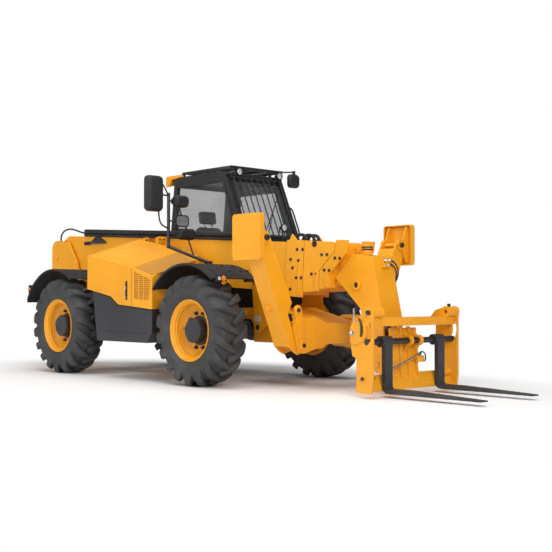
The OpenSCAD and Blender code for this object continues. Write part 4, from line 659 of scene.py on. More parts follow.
def buildWheelFittings():
    w = wheelFit
    for place, node, side in wheels:
        body, centre = "wheel_" + place, wheelCentre(node)
        rim = Form(Matrix.Translation(centre))
        rim.lathe((0, 0, 0), (0, side, 0), rimLine, w["steps"], loop=True)
        rim.done("rim_grooved_" + node, body, "paint_yellow", replaced=("rim_" + node,), sharp=40)
        nuts = [(onWheel(centre, w["nutR"], side * w["nutY"], 360 * k / w["nuts"]), (0, side, 0))
                for k in range(w["nuts"])]
        bolts("wheel_nuts_" + node, body, "paint_black", nuts, w["nutSize"], Matrix())
        foot = onWheel(centre, w["valveR"], side * w["valveY"], w["valveTurn"])
        ahead, out = w["valveLean"]
        valve = Form(Matrix()).lathe(foot, (ahead, side * out, 0), valveLine, 16)
        valve.done("tyre_valve_" + node, body, "steel")


buildWheelFittings()
print("wheel fittings set")


# hoses: smooth runs through measured points in millimetres, with crimped ends

hoseRuns = {
    "tail": {
        "diameter": 0.024, "body": "boom", "node": "tail_hose", "frame": boomFrame, "steps": 2,
        "points": [(0, 112), (0, 140), (-20, 172), (-52, 208), (-70, 255), (-62, 303), (-22, 348), (42, 381),
                   (125, 398), (215, 400), (310, 390), (410, 371), (520, 353), (600, 346), (650, 346)]},
    "nose_upper": {
        "diameter": 0.016, "body": "section_four", "node": "nose_hoses", "frame": acrossBoom, "steps": 3,
        "points": [(1874, 55, 1352), (1874, 95, 1352), (1878, 132, 1342), (1884, 170, 1315),
                   (1888, 196, 1275), (1888, 208, 1232), (1882, 208, 1190), (1868, 200, 1145),
                   (1848, 186, 1100), (1826, 175, 1064), (1814, 172, 1040), (1814, 172, 1024)]},
    "nose_lower": {
        "diameter": 0.016, "body": "section_four", "node": "nose_hoses", "frame": acrossBoom, "steps": 3,
        "points": [(1882, 55, 1312), (1882, 88, 1312), (1887, 120, 1300), (1892, 148, 1274),
                   (1894, 166, 1238), (1890, 175, 1198), (1878, 176, 1153), (1863, 174, 1110),
                   (1851, 172, 1070), (1848, 172, 1045), (1848, 172, 1024)]},
}
# crimp outline in hose diameters: radius and distance from the hose's end
crimpLine = [(0.55, 0), (0.8, 0), (0.8, 0.5), (0.66, 0.6), (0.66, 1.5), (0.62, 1.6), (0.53, 1.6)]
crimpGap = 0.001


def hoseRubber():
    p = Paint("hoseRubber")
    cover = p.mix(p.spread(p.noise(30.0, 4.0), 0.3, 0.7), finish["hose"], finish["hosePale"])
    p.set(Base_Color=cover, Roughness=0.46 + 0.16 * p.noise(90.0))
    p.set(Normal=p.bump(p.noise(700.0, 2.0), 0.2, 0.001))
    return p.material


hoseLook = hoseRubber()


def buildHoses():
    low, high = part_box("tail_hose")
    tailY = (low.y + high.y) / 2 - boomMid
    for name, spec in hoseRuns.items():
        points = [(p[0], tailY * 1000, p[1]) if len(p) == 2 else p for p in spec["points"]]
        route = smoothRun([spec["frame"] @ (Vector(p) / 1000) for p in points], spec["steps"])
        d = spec["diameter"]
        hose = Form(Matrix()).sweep(route, d, 12).done(
            "hose_" + name, spec["body"], "plastic", hoseLook, (spec["node"],), 60)
        crimps = Form(Matrix())
        outline = [(d * r, max(d * h, crimpGap)) for r, h in crimpLine]
        for spot, ahead in ((route[0], route[1]), (route[-1], route[-2])):
            crimps.lathe(spot, ahead - spot, outline, 18, loop=True)
        fitted = crimps.done("hose_ends_" + name, spec["body"], "steel")
        span = sum((b - a).length for a, b in zip(route, route[1:]))


buildHoses()
print("hoses laid")


# boom: bolts of the wear pads, caps on the second collar, side bracket, hose guide, tray bolts

boomFit = {
    "padSide": 0.212, "padSize": (0.022, 0.010, 0.036),
    "padSpots": {  # millimetres along and above the lift pin
        "boom": [(4968, 221), (5052, 223), (4873, 110), (4994, 102), (4908, 20), (4970, -87), (5046, -83),
                 (4886, -215)],
        "section_two": [(5343, 174), (5421, 176), (5202, -35), (5275, -31)],
        "section_three": [(5538, 145), (5608, 143), (5390, 14), (5462, 13)],
    },
    "cap": (5.229, 0.211, 0.286),
    "capLine": [(0, 0), (0.034, 0), (0.034, 0.006), (0.031, 0.009), (0.020, 0.009), (0.017, 0.006),
                (0, 0.006)],
    "trayAlong": (0.78, 1.35, 1.95, 2.55, 3.15, 3.72), "traySpot": (-0.2135, 0.322),
    "traySize": (0.017, 0.007, 0.026),
}
bracketFit = {
    "plate": [(-3.351, 1.723), (-2.923, 1.719), (-2.95, 1.742), (-3.130, 1.832), (-3.165, 1.832),
              (-3.32, 1.745)],
    "plateY": (-0.262, -0.2405),
    "pad": [(-3.22, 1.748), (-3.02, 1.746), (-3.14, 1.808)], "padY": (-0.270, -0.258),
}
guideFit = {"rollers": 3, "first": -3.46, "pitch": 0.045, "z": 1.735, "y": (-0.2405, -0.266), "d": 0.03,
            "bar": ((-3.49, -0.254, 1.712), (-3.34, -0.2405, 1.758))}


def buildBoomFittings():
    f = boomFit
    for body, spots in f["padSpots"].items():
        rows = [((u / 1000, way * f["padSide"], w / 1000), (0, way, 0)) for u, w in spots for way in (-1, 1)]
        bolts("pad_bolts_" + body, body, "paint_grey", rows, f["padSize"], boomFrame)
    cap, (u, y, w) = Form(boomFrame), f["cap"]
    for way in (-1, 1):
        cap.lathe((u, way * y, w), (0, way, 0), f["capLine"], 28)
    cap.done("collar_caps", "section_two", "plastic")
    arm = Form()
    arm.prism(bracketFit["plate"], "y", *bracketFit["plateY"], 0.004)
    arm.prism(bracketFit["pad"], "y", *bracketFit["padY"], 0.003)
    arm.done("side_bracket", "boom", "paint_black")
    guide, g = Form(), guideFit
    for k in range(g["rollers"]):
        x = g["first"] + g["pitch"] * k
        guide.tube((x, g["y"][0], g["z"]), (x, g["y"][1], g["z"]), g["d"])
    guide.box(*g["bar"], 0.003)
    guide.done("hose_guide", "boom", "plastic")
    rows = [((u, *f["traySpot"]), (0, -1, 0)) for u in f["trayAlong"]]
    bolts("tray_bolts", "boom", "paint_grey", rows, f["traySize"], boomFrame)


buildBoomFittings()
print("boom fitted")


# nose: bosses with their pin, hose roller with two bands, couplings on the shoulder

noseFit = {
    "boss": (1.638, 1.097), "bossFaces": ((-0.2, -1), (0.1, 1)), "bossSize": (0.056, 0.030, 0.022),
    "pinSize": (0.030, 0.012),
    "drum": (1.700, -0.105, 1.405),
    "drumLine": [(0, 0), (0.050, 0), (0.052, 0.004), (0.052, 0.088), (0.046, 0.096), (0.022, 0.098),
                 (0.020, 0.108), (0, 0.108)],
    "bands": (0.050, 0.074),
    "bandLine": [(0.051, 0), (0.0555, 0), (0.057, 0.004), (0.057, 0.011), (0.0555, 0.015), (0.051, 0.015)],
    "couplings": ((1.884, -0.024, 1.352), (1.884, 0.004, 1.306), (1.884, 0.036, 1.352)),
    "couplingAim": (1, 0, -0.2),
    "couplingLine": [(0, 0), (0.013, 0), (0.013, 0.012), (0.009, 0.014), (0.009, 0.030), (0.014, 0.032),
                     (0.014, 0.046), (0.008, 0.050), (0, 0.050)],
}


def pinEnd(form, spot, axis, r, rise):
    form.lathe(spot, axis, [(0, 0), (r, 0), (r, rise * 0.7), (r * 0.9, rise), (r * 0.45, rise),
                            (r * 0.38, rise * 0.6), (0, rise * 0.6)], 26)


def collar(form, spot, axis, outer, inner, rise):
    form.lathe(spot, axis, [(inner, 0), (outer, 0), (outer, rise * 0.7), (outer * 0.94, rise), (inner, rise)],
               32, loop=True)


def buildNoseFittings():
    f = noseFit
    ring, pin, (x, z) = Form(), Form(), f["boss"]
    for face, way in f["bossFaces"]:
        collar(ring, (x, face, z), (0, way, 0), *f["bossSize"])
        pinEnd(pin, (x, face, z), (0, way, 0), *f["pinSize"])
    ring.done("nose_bosses", "section_four", "paint_yellow")
    pin.done("nose_pin_ends", "section_four", "paint_black")
    roller = Form().lathe(f["drum"], (0, 0, 1), f["drumLine"], 36)
    roller.done("hose_roller", "section_four", "paint_yellow")
    bands, (x, y, z) = Form(), f["drum"]
    for rise in f["bands"]:
        bands.lathe((x, y, z + rise), (0, 0, 1), f["bandLine"], 36, loop=True)
    bands.done("roller_bands", "section_four", "plastic")
    couplings = Form(acrossBoom)
    for spot in f["couplings"]:
        couplings.lathe(spot, f["couplingAim"], f["couplingLine"], 6)
    couplings.done("nose_couplings", "section_four", "steel")


# carriage: handles, pins, latch hooks and sleeves on both ends, and the locking rod with its grip

carriageFit = {
    "end": 0.690,  # outer face of the end plates; the handle's y counts from it
    "handle": [(2.060, 0.004, 0.735), (2.060, 0.016, 0.76), (2.060, 0.018, 0.83), (2.058, 0.018, 0.865)],
    "handleD": 0.020,
    "eye": (2.060, 0.760), "eyeSize": (0.024, 0.008, 0.012),
    "pins": [((2.222, 0.822), (0.024, 0.010)), ((2.150, 0.190), (0.018, 0.010))],
    "hook": [(2.118, 0.770), (2.146, 0.742), (2.160, 0.690), (2.160, 0.630), (2.146, 0.590), (2.128, 0.596),
             (2.138, 0.640), (2.138, 0.690), (2.126, 0.735), (2.106, 0.756)],
    "hookThick": 0.012,
    "shaft": (2.148, 0.190), "sleeve": (0.680, 0.560), "sleeveD": 0.066,
    "stop": (0.562, 0.520), "stopD": 0.040,
    "bolt": (2.02, 0.625), "boltSize": (0.032, 0.018, 0.052),
    "plug": ((2.20, 0.60, 0.858), (2.20, 0.60, 0.905)), "plugD": 0.036,
}
lockFit = {
    "rod": ((2.176, -0.373, 0.244), (2.176, 0.120, 0.390)), "rodD": 0.020,
    "nutAim": (0, 0.49, 0.146),
    "nutLine": [(0, -0.004), (0.018, -0.004), (0.018, 0.03), (0.012, 0.034), (0.012, 0.05), (0, 0.05)],
    "block": ((2.130, 0.110, 0.318), (2.182, 0.214, 0.382)),
    "grip": [(2.170, 0.150, 0.412), (2.174, 0.190, 0.420), (2.176, 0.226, 0.402), (2.176, 0.240, 0.366),
             (2.172, 0.236, 0.330), (2.166, 0.206, 0.322)],
    "gripD": 0.014,
}


def buildCarriageFittings():
    f, lock = carriageFit, lockFit
    dark, yellow, steel = Form(), Form(), Form()
    for way in (-1, 1):
        y, out = way * f["end"], (0, way, 0)
        steel.bend([(x, y + way * off, z) for x, off, z in f["handle"]], f["handleD"], 12)
        collar(yellow, (f["eye"][0], y, f["eye"][1]), out, *f["eyeSize"])
        for (x, z), size in f["pins"]:
            pinEnd(dark, (x, y, z), out, *size)
        dark.prism(f["hook"], "y", *sorted((y, y + way * f["hookThick"])), 0.003)
        x, z = f["shaft"]
        (a, b), (c, d) = f["sleeve"], f["stop"]
        yellow.tube((x, way * a, z), (x, way * b, z), f["sleeveD"], 0.004, 28)
        dark.tube((x, way * c, z), (x, way * d, z), f["stopD"], 0.003, 24)
    x, z = f["bolt"]
    rows = [((x, way * f["end"], z), (0, way, 0)) for way in (-1, 1)]
    bolts("carriage_bolts", "fork_carriage", "steel", rows, f["boltSize"])
    rod = Form().tube(*lock["rod"], lock["rodD"], 0.003, 18)
    rod.lathe(lock["rod"][1], lock["nutAim"], lock["nutLine"], 6)
    rod.done("locking_rod", "fork_carriage", "steel")
    yellow.box(*lock["block"], 0.006)
    dark.bend(lock["grip"], lock["gripD"], 10)
    dark.tube(*f["plug"], f["plugD"], 0.004)
    steel.done("carriage_handles", "fork_carriage", "steel")
    dark.done("carriage_latches", "fork_carriage", "paint_black")
    yellow.done("carriage_sleeves", "fork_carriage", "paint_yellow")


buildNoseFittings()
buildCarriageFittings()
print("nose and carriage fitted")


# stabilisers: stubs and foot pins on the legs, ears and pins on the bracket, a plain plate on each cheek

legFit = {
    "stub": (1.016, 0.8725, 0.8626), "stubAim": (0.91, -0.415),
    "stubLine": [(0, 0), (0.036, 0), (0.036, 0.010), (0.030, 0.014), (0.030, 0.030), (0.026, 0.034),
                 (0.012, 0.034), (0.010, 0.028), (0, 0.028)],
    "footPin": (1.183, 1.051, 1.5736), "footPinSize": (0.030, 0.030),
    "ears": ((0.622, 0.837, 12), (0.544, 0.472, 192)),  # y, z and the angle where the round end starts
    "earR": 0.056, "earSteps": 8, "earX": (1.190, 1.204),
    "eyeX": 1.203, "eyeSize": (0.044, 0.022, 0.010), "eyePin": (0.024, 0.018),
    "plate": (0.329, 0.73), "plateSize": (0.106, 0.065), "plateY": (0.3955, 0.399),
    "cheekPin": (0.329, 0.395, 0.640), "cheekPinSize": (0.030, 0.010),
}


def paleEnamel():
    p = Paint("paleEnamel")
    tone = p.mix(p.spread(p.noise(40.0), 0.3, 0.7), finish["enamel"], finish["enamelDull"])
    p.set(Base_Color=tone, Roughness=0.40 + 0.15 * p.noise(90.0))
    p.set(Normal=p.bump(p.noise(300.0, 2.0), 0.06, 0.001))
    return p.material


def mirrored(spot, way):
    return (spot[0], way * spot[1], spot[2])


def buildLegFittings():
    f = legFit
    bracket, lugs, plate = Form(), Form(), Form()
    for side, way in (("right", -1), ("left", 1)):
        across, down = f["stubAim"]
        stub = Form().lathe(mirrored(f["stub"], way), (0, way * across, down), f["stubLine"], 28)
        stub.done("leg_stub_" + side, side + "_leg", "paint_yellow")
        caps = Form()
        pinEnd(caps, mirrored(f["footPin"], way), (1, 0, 0), *f["footPinSize"])
        caps.done("foot_pin_" + side, side + "_leg", "paint_black")
        rim = []
        for y, z, start in f["ears"]:
            for k in range(f["earSteps"] + 1):
                t = math.radians(start + 180 / f["earSteps"] * k)
                rim.append((way * (y + f["earR"] * math.cos(t)), z + f["earR"] * math.sin(t)))
            collar(lugs, (f["eyeX"], way * y, z), (1, 0, 0), *f["eyeSize"])
            pinEnd(bracket, (f["eyeX"], way * y, z), (1, 0, 0), *f["eyePin"])
        lugs.prism(rim, "x", *f["earX"], 0.003)
        (x, z), (wide, high) = f["plate"], f["plateSize"]
        near, far = sorted(way * y for y in f["plateY"])
        plate.box((x - wide / 2, near, z - high / 2), (x + wide / 2, far, z + high / 2), 0.001)
        pinEnd(bracket, mirrored(f["cheekPin"], way), (0, way, 0), *f["cheekPinSize"])
    bracket.done("bracket_pins", "chassis", "paint_black")
    lugs.done("bracket_lugs", "chassis", "paint_yellow")
    plate.done("blank_plates", "chassis", "paint_grey", paleEnamel())


buildLegFittings()
print("stabilisers fitted")


# mirrors: moulded heads with a rolled rim and set-in glass, on thin stays

stand = Vector((-0.615, -0.925, 2.156))
mirrorHeads = [
    {"size": (0.225, 0.405, 0.090), "spot": stand + Vector((0.094, -0.268, -0.015)), "round": 0.05,
     "way": -1},
    {"size": (0.205, 0.140, 0.080), "spot": stand + Vector((0.043, 0.150, -0.075)), "round": 0.05, "way": -1},
    {"size": (0.190, 0.140, 0.040), "spot": stand + Vector((0.069, 0.135, -0.305)), "round": 0.045, "way": 1},
    {"size": (0.235, 0.130, 0.070), "spot": stand + Vector((0.084, 0.205, -0.455)), "round": 0.04, "way": -1},
    {"size": (0.190, 0.180, 0.060), "spot": Vector((-0.760, 1.215, 2.495)), "round": 0.05, "way": -1},
]
# steps from the rim back over the dome, and the same for the glass: depth share, width share
mirrorDome = [(0.12, 0.90), (0.0, 0.93), (0.0, 0.985), (0.08, 1.0), (0.40, 1.0), (0.62, 0.965), (0.80, 0.90),
              (0.92, 0.78), (0.985, 0.55), (1.0, 0.25)]
mirrorPane = [(0.17, 0.90), (0.125, 0.90), (0.095, 0.60), (0.085, 0.25)]
# thin tubes: two that hold the tall head, and one down to the slanted tube
mirrorStays = [
    [(-0.566, -1.100, 2.235), (-0.592, -1.064, 2.283), (-0.604, -1.009, 2.254), (-0.612, -0.935, 2.152)],
    [(-0.566, -1.100, 2.070), (-0.592, -1.083, 1.963), (-0.602, -1.047, 1.820), (-0.612, -0.930, 1.760)],
    [(-0.585, -0.797, 2.022), (-0.587, -0.764, 1.929), (-0.587, -0.700, 1.800), (-0.578, -0.668, 1.650),
     (-0.452, -0.682, 1.440)],
]
stayDiameter = 0.018


def mirrorGlass():
    p = Paint("mirrorGlass")
    haze = p.spread(p.noise(9.0, 3.0), 0.35, 0.75)
    tone = p.mix(haze, finish["mirror"], finish["mirrorHaze"])
    p.set(Base_Color=tone, Metallic=1.0, Roughness=0.03 + 0.08 * haze)
    return p.material


def buildMirrors():
    shell, glass, stays = Form(), Form(), Form()
    for head in mirrorHeads:
        (w, h, t), c, way = head["size"], head["spot"], head["way"]
        for form, steps in ((shell, mirrorDome), (glass, mirrorPane)):
            rings = []
            for depth, share in steps:
                x = c.x + way * t * (0.5 - depth)
                flat = roundRect(w * share, h - (1 - share) * w, head["round"] * share)
                rings.append([(x, c.y + a, c.z + b) for a, b in flat])
            form.rows(rings)
    shell.done("mirror_shells", "chassis", "plastic", replaced=("mirrors",), sharp=40)
    glass.done("mirror_glasses", "chassis", "glass", mirrorGlass())
    for run in mirrorStays:
        stays.bend(run, stayDiameter, 10, 5)
    stays.done("mirror_stays", "chassis", "plastic", sharp=60)


buildMirrors()
print("mirrors set")


# lamps: black bowls with a ribbed lens, in yokes on the roof edge and on a stalk by the screen

lampFit = {
    "spots": [(-0.853, 0.340, 2.552, 2.500), (-0.853, 1.030, 2.552, 2.500), (-0.490, 0.770, 1.850, 1.655)],
    "back": 0.030, "stalkD": 0.018, "stalkTop": 0.040,
    "bowlLine": [(0, -0.004), (0.018, -0.004), (0.030, 0.004), (0.042, 0.024), (0.047, 0.044), (0.047, 0.060),
                 (0.043, 0.062), (0.041, 0.058), (0.041, 0.046), (0, 0.046)],
    "lensLine": [(0, 0.047), (0.040, 0.047), (0.040, 0.054), (0.030, 0.059), (0.012, 0.0615), (0, 0.062)],
    "yokeDeep": 0.024, "yokeHalf": 0.049, "yokeWall": 0.003, "yokeZ": (-0.058, 0.012),
    "sillZ": (-0.062, -0.055),
}


def buildLamps():
    f = lampFit
    bowl, lens, stalk = Form(), Form(), Form()
    for x, y, z, foot in f["spots"]:  # the last is the height of the stalk's foot
        bowl.lathe((x - f["back"], y, z), (1, 0, 0), f["bowlLine"], 36)
        lens.lathe((x - f["back"], y, z), (1, 0, 0), f["lensLine"], 36)
        deep, half, wall = f["yokeDeep"], f["yokeHalf"], f["yokeWall"]
        stalk.tube((x - deep / 2, y, foot), (x - deep / 2, y, z - f["stalkTop"]), f["stalkD"])
        low, high = f["yokeZ"]
        for way in (-1, 1):
            arm = y + way * half
            stalk.box((x - deep, arm - wall, z + low), (x, arm + wall, z + high), 0.002)
        low, high = f["sillZ"]
        stalk.box((x - deep, y - half - wall, z + low), (x, y + half + wall, z + high), 0.002)
    bowl.done("lamp_bowls", "chassis", "plastic", replaced=("lamps",))
    lens.done("lamp_lenses", "chassis", "lamp")
    stalk.done("lamp_stalks", "chassis", "paint_black")


buildLamps()
print("lamps set")


# bonnet and skirt: crease beads, panel gap, intake screens, latch with its pull, seal and folds

bonnetFit = {
    "side": -1.120, "slope": 17,  # the side's y, and the top's rise in degrees
    "crease": [(-2.020, 1.490), (-1.070, 1.316), (-0.660, 1.198)],
    "beadX": (-2.005, -1.85, -1.65, -1.45, -1.25, -1.07, -0.95, -0.82, -0.675), "beadD": 0.016,
    "joinX": -1.07, "joinY": (-1.11, -0.95, -0.75, -0.55, -0.33), "joinD": 0.012,
    "gap": 0.005, "gapZ": (0.876, 1.308), "gapY": (-0.0012, 0.002),
    "intake": [(-1.045, -1.085), (-0.700, -1.085), (-0.700, -0.42), (-1.045, -0.36)],
    "intakeRise": (-0.001, 0.005),
    "grille": [(-1.031, 0.951), (-0.731, 0.929), (-0.684, 1.176), (-1.031, 1.278)],
    "grilleY": (0.0118, 0.0150),
}
latchFit = {
    "x": -1.170, "half": 0.016, "y": (-0.006, 0.001), "z": (0.945, 1.165), "keyY": -0.004, "keyZ": 1.128,
    "keyLine": [(0, 0), (0.013, 0), (0.013, 0.008), (0.010, 0.011), (0, 0.011)],
    "pull": [(-0.004, 1.085), (-0.022, 1.070), (-0.024, 1.020), (-0.020, 0.985), (-0.004, 0.972)],
    "pullD": 0.011,
}
skirtFit = {
    "seal": [(-1.905, 1.056), (-1.70, 1.019), (-1.510, 0.984), (-1.490, 0.976), (-1.355, 0.894),
             (-1.330, 0.886), (-1.0, 0.860), (-0.672, 0.834)],
    "sealOff": (0.003, -0.008), "sealD": 0.014,
    "foldY": -1.1150, "foldD": 0.010,
    "folds": [[(-1.80, 0.568), (-1.2, 0.560), (-0.80, 0.556)], [(-0.792, 0.556), (-0.792, 0.820)]],
}


def creaseHeight(x):
    crease = bonnetFit["crease"]
    for (xa, za), (xb, zb) in zip(crease, crease[1:]):
        if x <= xb:
            return za + (zb - za) * (x - xa) / (xb - xa)
    return crease[-1][1]


def onBonnet(x, y, rise):
    slope = math.tan(math.radians(bonnetFit["slope"]))
    return (x, y, creaseHeight(x) + (y - bonnetFit["side"]) * slope + rise)


def intakeScreen(name, across):
    p = Paint(name)
    x, y = p.axis(0) * 700.0, p.axis(across) * 700.0
    # the holes are painted in shaded yellow: painted shade in the screen's openings
    holes = p.spread(x.math("SINE") * y.math("SINE"), 0.10, 0.45)
    p.set(Base_Color=p.mix(holes, finish["screen"], finish["screenHoleShade"]), Roughness=0.42 + 0.2 * holes)
    p.set(Normal=p.bump(1.0 - holes, 0.5, 0.002))
    return p.material


def buildBonnetFittings():
    f, side = bonnetFit, bonnetFit["side"]
    bead = Form()
    bead.sweep([(x, side + 0.004, creaseHeight(x) + 0.001) for x in f["beadX"]], f["beadD"], 10)
    bead.sweep([onBonnet(f["joinX"], y, 0.001) for y in f["joinY"]], f["joinD"], 8)
    bead.done("bonnet_beads", "bonnet", "paint_yellow", sharp=60)
    x, (low, high), (near, far) = f["joinX"], f["gapZ"], f["gapY"]
    gap = Form().box((x - f["gap"] / 2, side + near, low), (x + f["gap"] / 2, side + far, high), 0)
    gap.done("bonnet_gap", "bonnet", "plastic")
    panel = Form()
    panel.rows([[onBonnet(x, y, lift) for x, y in f["intake"]] for lift in f["intakeRise"]])
    panel.done("intake_screen", "bonnet", "paint_yellow", intakeScreen("intakeScreen", 1))
    mesh = Form().prism(f["grille"], "y", *(side + y for y in f["grilleY"]), 0.001)
    mesh.done("grille_screen", "bonnet", "paint_yellow", intakeScreen("grilleScreen", 2))


def buildLatch():
    f, side = latchFit, bonnetFit["side"]
    x, (near, far), (low, high) = f["x"], f["y"], f["z"]
    latch = Form().box((x - f["half"], side + near, low), (x + f["half"], side + far, high), 0.003)
    latch.lathe((x, side + f["keyY"], f["keyZ"]), (0, -1, 0), f["keyLine"], 20)
    latch.done("bonnet_latch", "bonnet", "plastic")
    pull = Form().bend([(x, side + y, z) for y, z in f["pull"]], f["pullD"], 10)
    pull.done("bonnet_pull", "bonnet", "steel", sharp=60)


def buildSkirtTrim():
    f = skirtFit
    out, drop = f["sealOff"]
    seal = Form().sweep([(x, bonnetFit["side"] + out, z + drop) for x, z in f["seal"]], f["sealD"], 10)
    seal.done("skirt_seal", "chassis", "plastic", sharp=60)
    fold = Form()
    for run in f["folds"]:
        fold.sweep([(x, f["foldY"], z) for x, z in run], f["foldD"], 8)
    fold.done("skirt_folds", "chassis", "paint_grey", sharp=60)


buildBonnetFittings()
buildLatch()
buildSkirtTrim()
print("bonnet fitted")


# mudguards: studs on top, indicators in front, marker lamps behind

guardFit = {
    "z": 0.580, "r": 0.765,
    "rows": ((-0.060, (0.16, 0.29)), (-2.830, (-2.62, -2.49))),  # the arc's middle, then the studs along it
    "studY": (0.62, 0.78, 1.02), "studSize": (0.022, 0.010, 0.038),
    "boxes": [((0.424, 0.456), (0.950, 1.090), (1.136, 1.206), 0.006),
              ((-3.494, -3.440), (0.985, 1.118), (1.030, 1.142), 0.008),
              ((-3.450, -3.385), (1.02, 1.06), (1.060, 1.090), 0.004)],
    "lenses": [("amber", (0.455, 0.998, 1.171), (1, 0, 0), (0.031, 0.018)),
               ("clear", (0.455, 1.056, 1.171), (1, 0, 0), (0.020, 0.012)),
               ("red", (-3.493, 1.050, 1.112), (-1, 0, 0), (0.022, 0.012)),
               ("amber", (-3.493, 1.050, 1.060), (-1, 0, 0), (0.022, 0.012)),
               ("amber", (-3.467, 1.116, 1.088), (0, 1, 0), (0.024, 0.014))],
}


def colouredLens(name, colour):
    p = Paint(name)
    ribs = p.add("ShaderNodeTexWave", {"wave_type": "BANDS", "bands_direction": "Z"},
                 {"Vector": p.place(), "Scale": 70.0}, out=1)
    deep = rgb(*(c * 0.7 for c in colour[:3]))
    p.set(Base_Color=p.mix(ribs, colour, deep), Roughness=0.12 + 0.10 * ribs, Coat_Weight=0.6)
    p.set(Normal=p.bump(ribs, 0.3, 0.001))
    return p.material


def lensDome(form, spot, axis, r, rise):
    form.lathe(spot, axis, [(0, 0), (r, 0), (r, rise * 0.5), (r * 0.85, rise * 0.85), (r * 0.45, rise),
                            (0, rise)], 26)


def buildGuardFittings():
    f = guardFit
    spots = []
    for centre, xs in f["rows"]:
        for x in xs:
            out = Vector(((x - centre) / f["r"], 0, 0))
            out.z = math.sqrt(1 - out.x ** 2)
            for way in (-1, 1):
                for y in f["studY"]:
                    spots.append(((x, way * y, f["z"] + out.z * f["r"]), tuple(out)))
    bolts("guard_studs", "chassis", "paint_black", spots, f["studSize"])
    shell, lenses = Form(), {"amber": Form(), "red": Form(), "clear": Form()}
    for way in (-1, 1):
        for (x0, x1), ys, (z0, z1), edge in f["boxes"]:
            y0, y1 = sorted(way * y for y in ys)
            shell.box((x0, y0, z0), (x1, y1, z1), edge)
        for kind, spot, aim, size in f["lenses"]:
            lensDome(lenses[kind], mirrored(spot, way), mirrored(aim, way), *size)
    shell.done("lamp_boxes", "chassis", "plastic")
    lenses["amber"].done("amber_lenses", "chassis", "lamp", colouredLens("amberLens", finish["amber"]))
    lenses["red"].done("red_lenses", "chassis", "lamp", colouredLens("redLens", finish["red"]))
    lenses["clear"].done("side_lamp_lenses", "chassis", "lamp")


buildGuardFittings()
print("mudguards fitted")


# cab: glazing seals, door handle, wiper, grab rail, roof bars

cabFit = {
    "foot": (-0.560, 1.700), "brow": (-0.915, 2.510),  # lower and upper edge of the windscreen
    "screenY": (0.235, 1.080), "screenEnds": (0.040, 0.060), "screenRise": (-0.001, 0.007),
    "screenSeal": 0.022,
    "window": [(-1.955, 1.675), (-0.636, 1.675), (-0.944, 2.450), (-1.915, 2.450)],
    "windowY": (0.168, 0.1755), "windowSeal": 0.034,
    "doorway": [(-1.800, 0.905), (-0.825, 0.905), (-0.790, 1.390), (-0.640, 1.470), (-0.665, 1.690),
                (-0.965, 2.435), (-1.800, 2.435)],
    "doorInset": 0.062, "doorY": (1.1165, 1.128), "doorSeal": 0.020,
}
handleFit = {
    "plate": ((-0.852, 1.139, 1.085), (-0.812, 1.147, 1.265)), "gripD": 0.015,
    "grip": [(-0.832, 1.146, 1.240), (-0.832, 1.168, 1.228), (-0.832, 1.172, 1.180), (-0.832, 1.168, 1.122),
             (-0.832, 1.146, 1.110)],
    "lock": (-0.832, 1.146, 1.095), "lockLine": [(0, 0), (0.010, 0), (0.010, 0.006), (0, 0.006)],
}
# places on the windscreen: distance up it, y, and height off the glass
wiperFit = {
    "hub": (0.085, 0.60, 0.004), "hubLine": [(0, 0), (0.020, 0), (0.020, 0.010), (0.012, 0.016), (0, 0.016)],
    "arm": [(0.085, 0.60, 0.014), (0.20, 0.68, 0.018), (0.40, 0.80, 0.012)], "armD": 0.010,
    "blade": [(0.16, 0.62, 0.006), (0.40, 0.80, 0.008), (0.64, 0.98, 0.006)], "bladeD": 0.012,
}
grabRail = {
    "run": [(-0.607, 1.138, 1.76), (-0.612, 1.172, 1.775), (-0.640, 1.186, 1.845), (-0.690, 1.186, 1.96),
            (-0.735, 1.186, 2.065), (-0.760, 1.172, 2.125), (-0.765, 1.138, 2.14)],
    "d": 0.022,
}
roofBars = [
    ((-1.862, 0.2255, 2.586), (-0.870, 0.2355, 2.6245)),
    ((-1.862, 1.0795, 2.586), (-0.870, 1.0895, 2.6245)),
    ((-0.880, 0.2255, 2.582), (-0.870, 1.0895, 2.6245)),
]

screenFoot = Vector((cabFit["foot"][0], 0, cabFit["foot"][1]))
screenRun = Vector((cabFit["brow"][0], 0, cabFit["brow"][1])) - screenFoot
screenLength = screenRun.length
screenRun.normalize()
screenOut = Vector((screenRun.z, 0, -screenRun.x))


def onScreen(s, y, out):
    return screenFoot + Vector((0, y, 0)) + screenRun * s + screenOut * out


def inset(outline, width):
    area = sum(a[0] * b[1] - b[0] * a[1] for a, b in zip(outline, outline[1:] + outline[:1]))
    turn = 1 if area > 0 else -1
    moved = []
    for i, here in enumerate(outline):
        here = Vector(here)
        into = (here - Vector(outline[i - 1])).normalized()
        away = (Vector(outline[(i + 1) % len(outline)]) - here).normalized()
        sideIn, sideOut = Vector((-into.y, into.x)) * turn, Vector((-away.y, away.x)) * turn
        middle = (sideIn + sideOut).normalized()
        moved.append(tuple(here + middle * width / middle.dot(sideIn)))
    return moved


def sealLoops(outline, width, low, high):
    inner = inset(outline, width)
    return ((outline, low), (outline, high), (inner, high), (inner, low))


def sealRing(form, outline, width, low, high):
    loops = sealLoops(outline, width, low, high)
    form.rows([[(a, level, b) for a, b in loop] for loop, level in loops], loop=True)


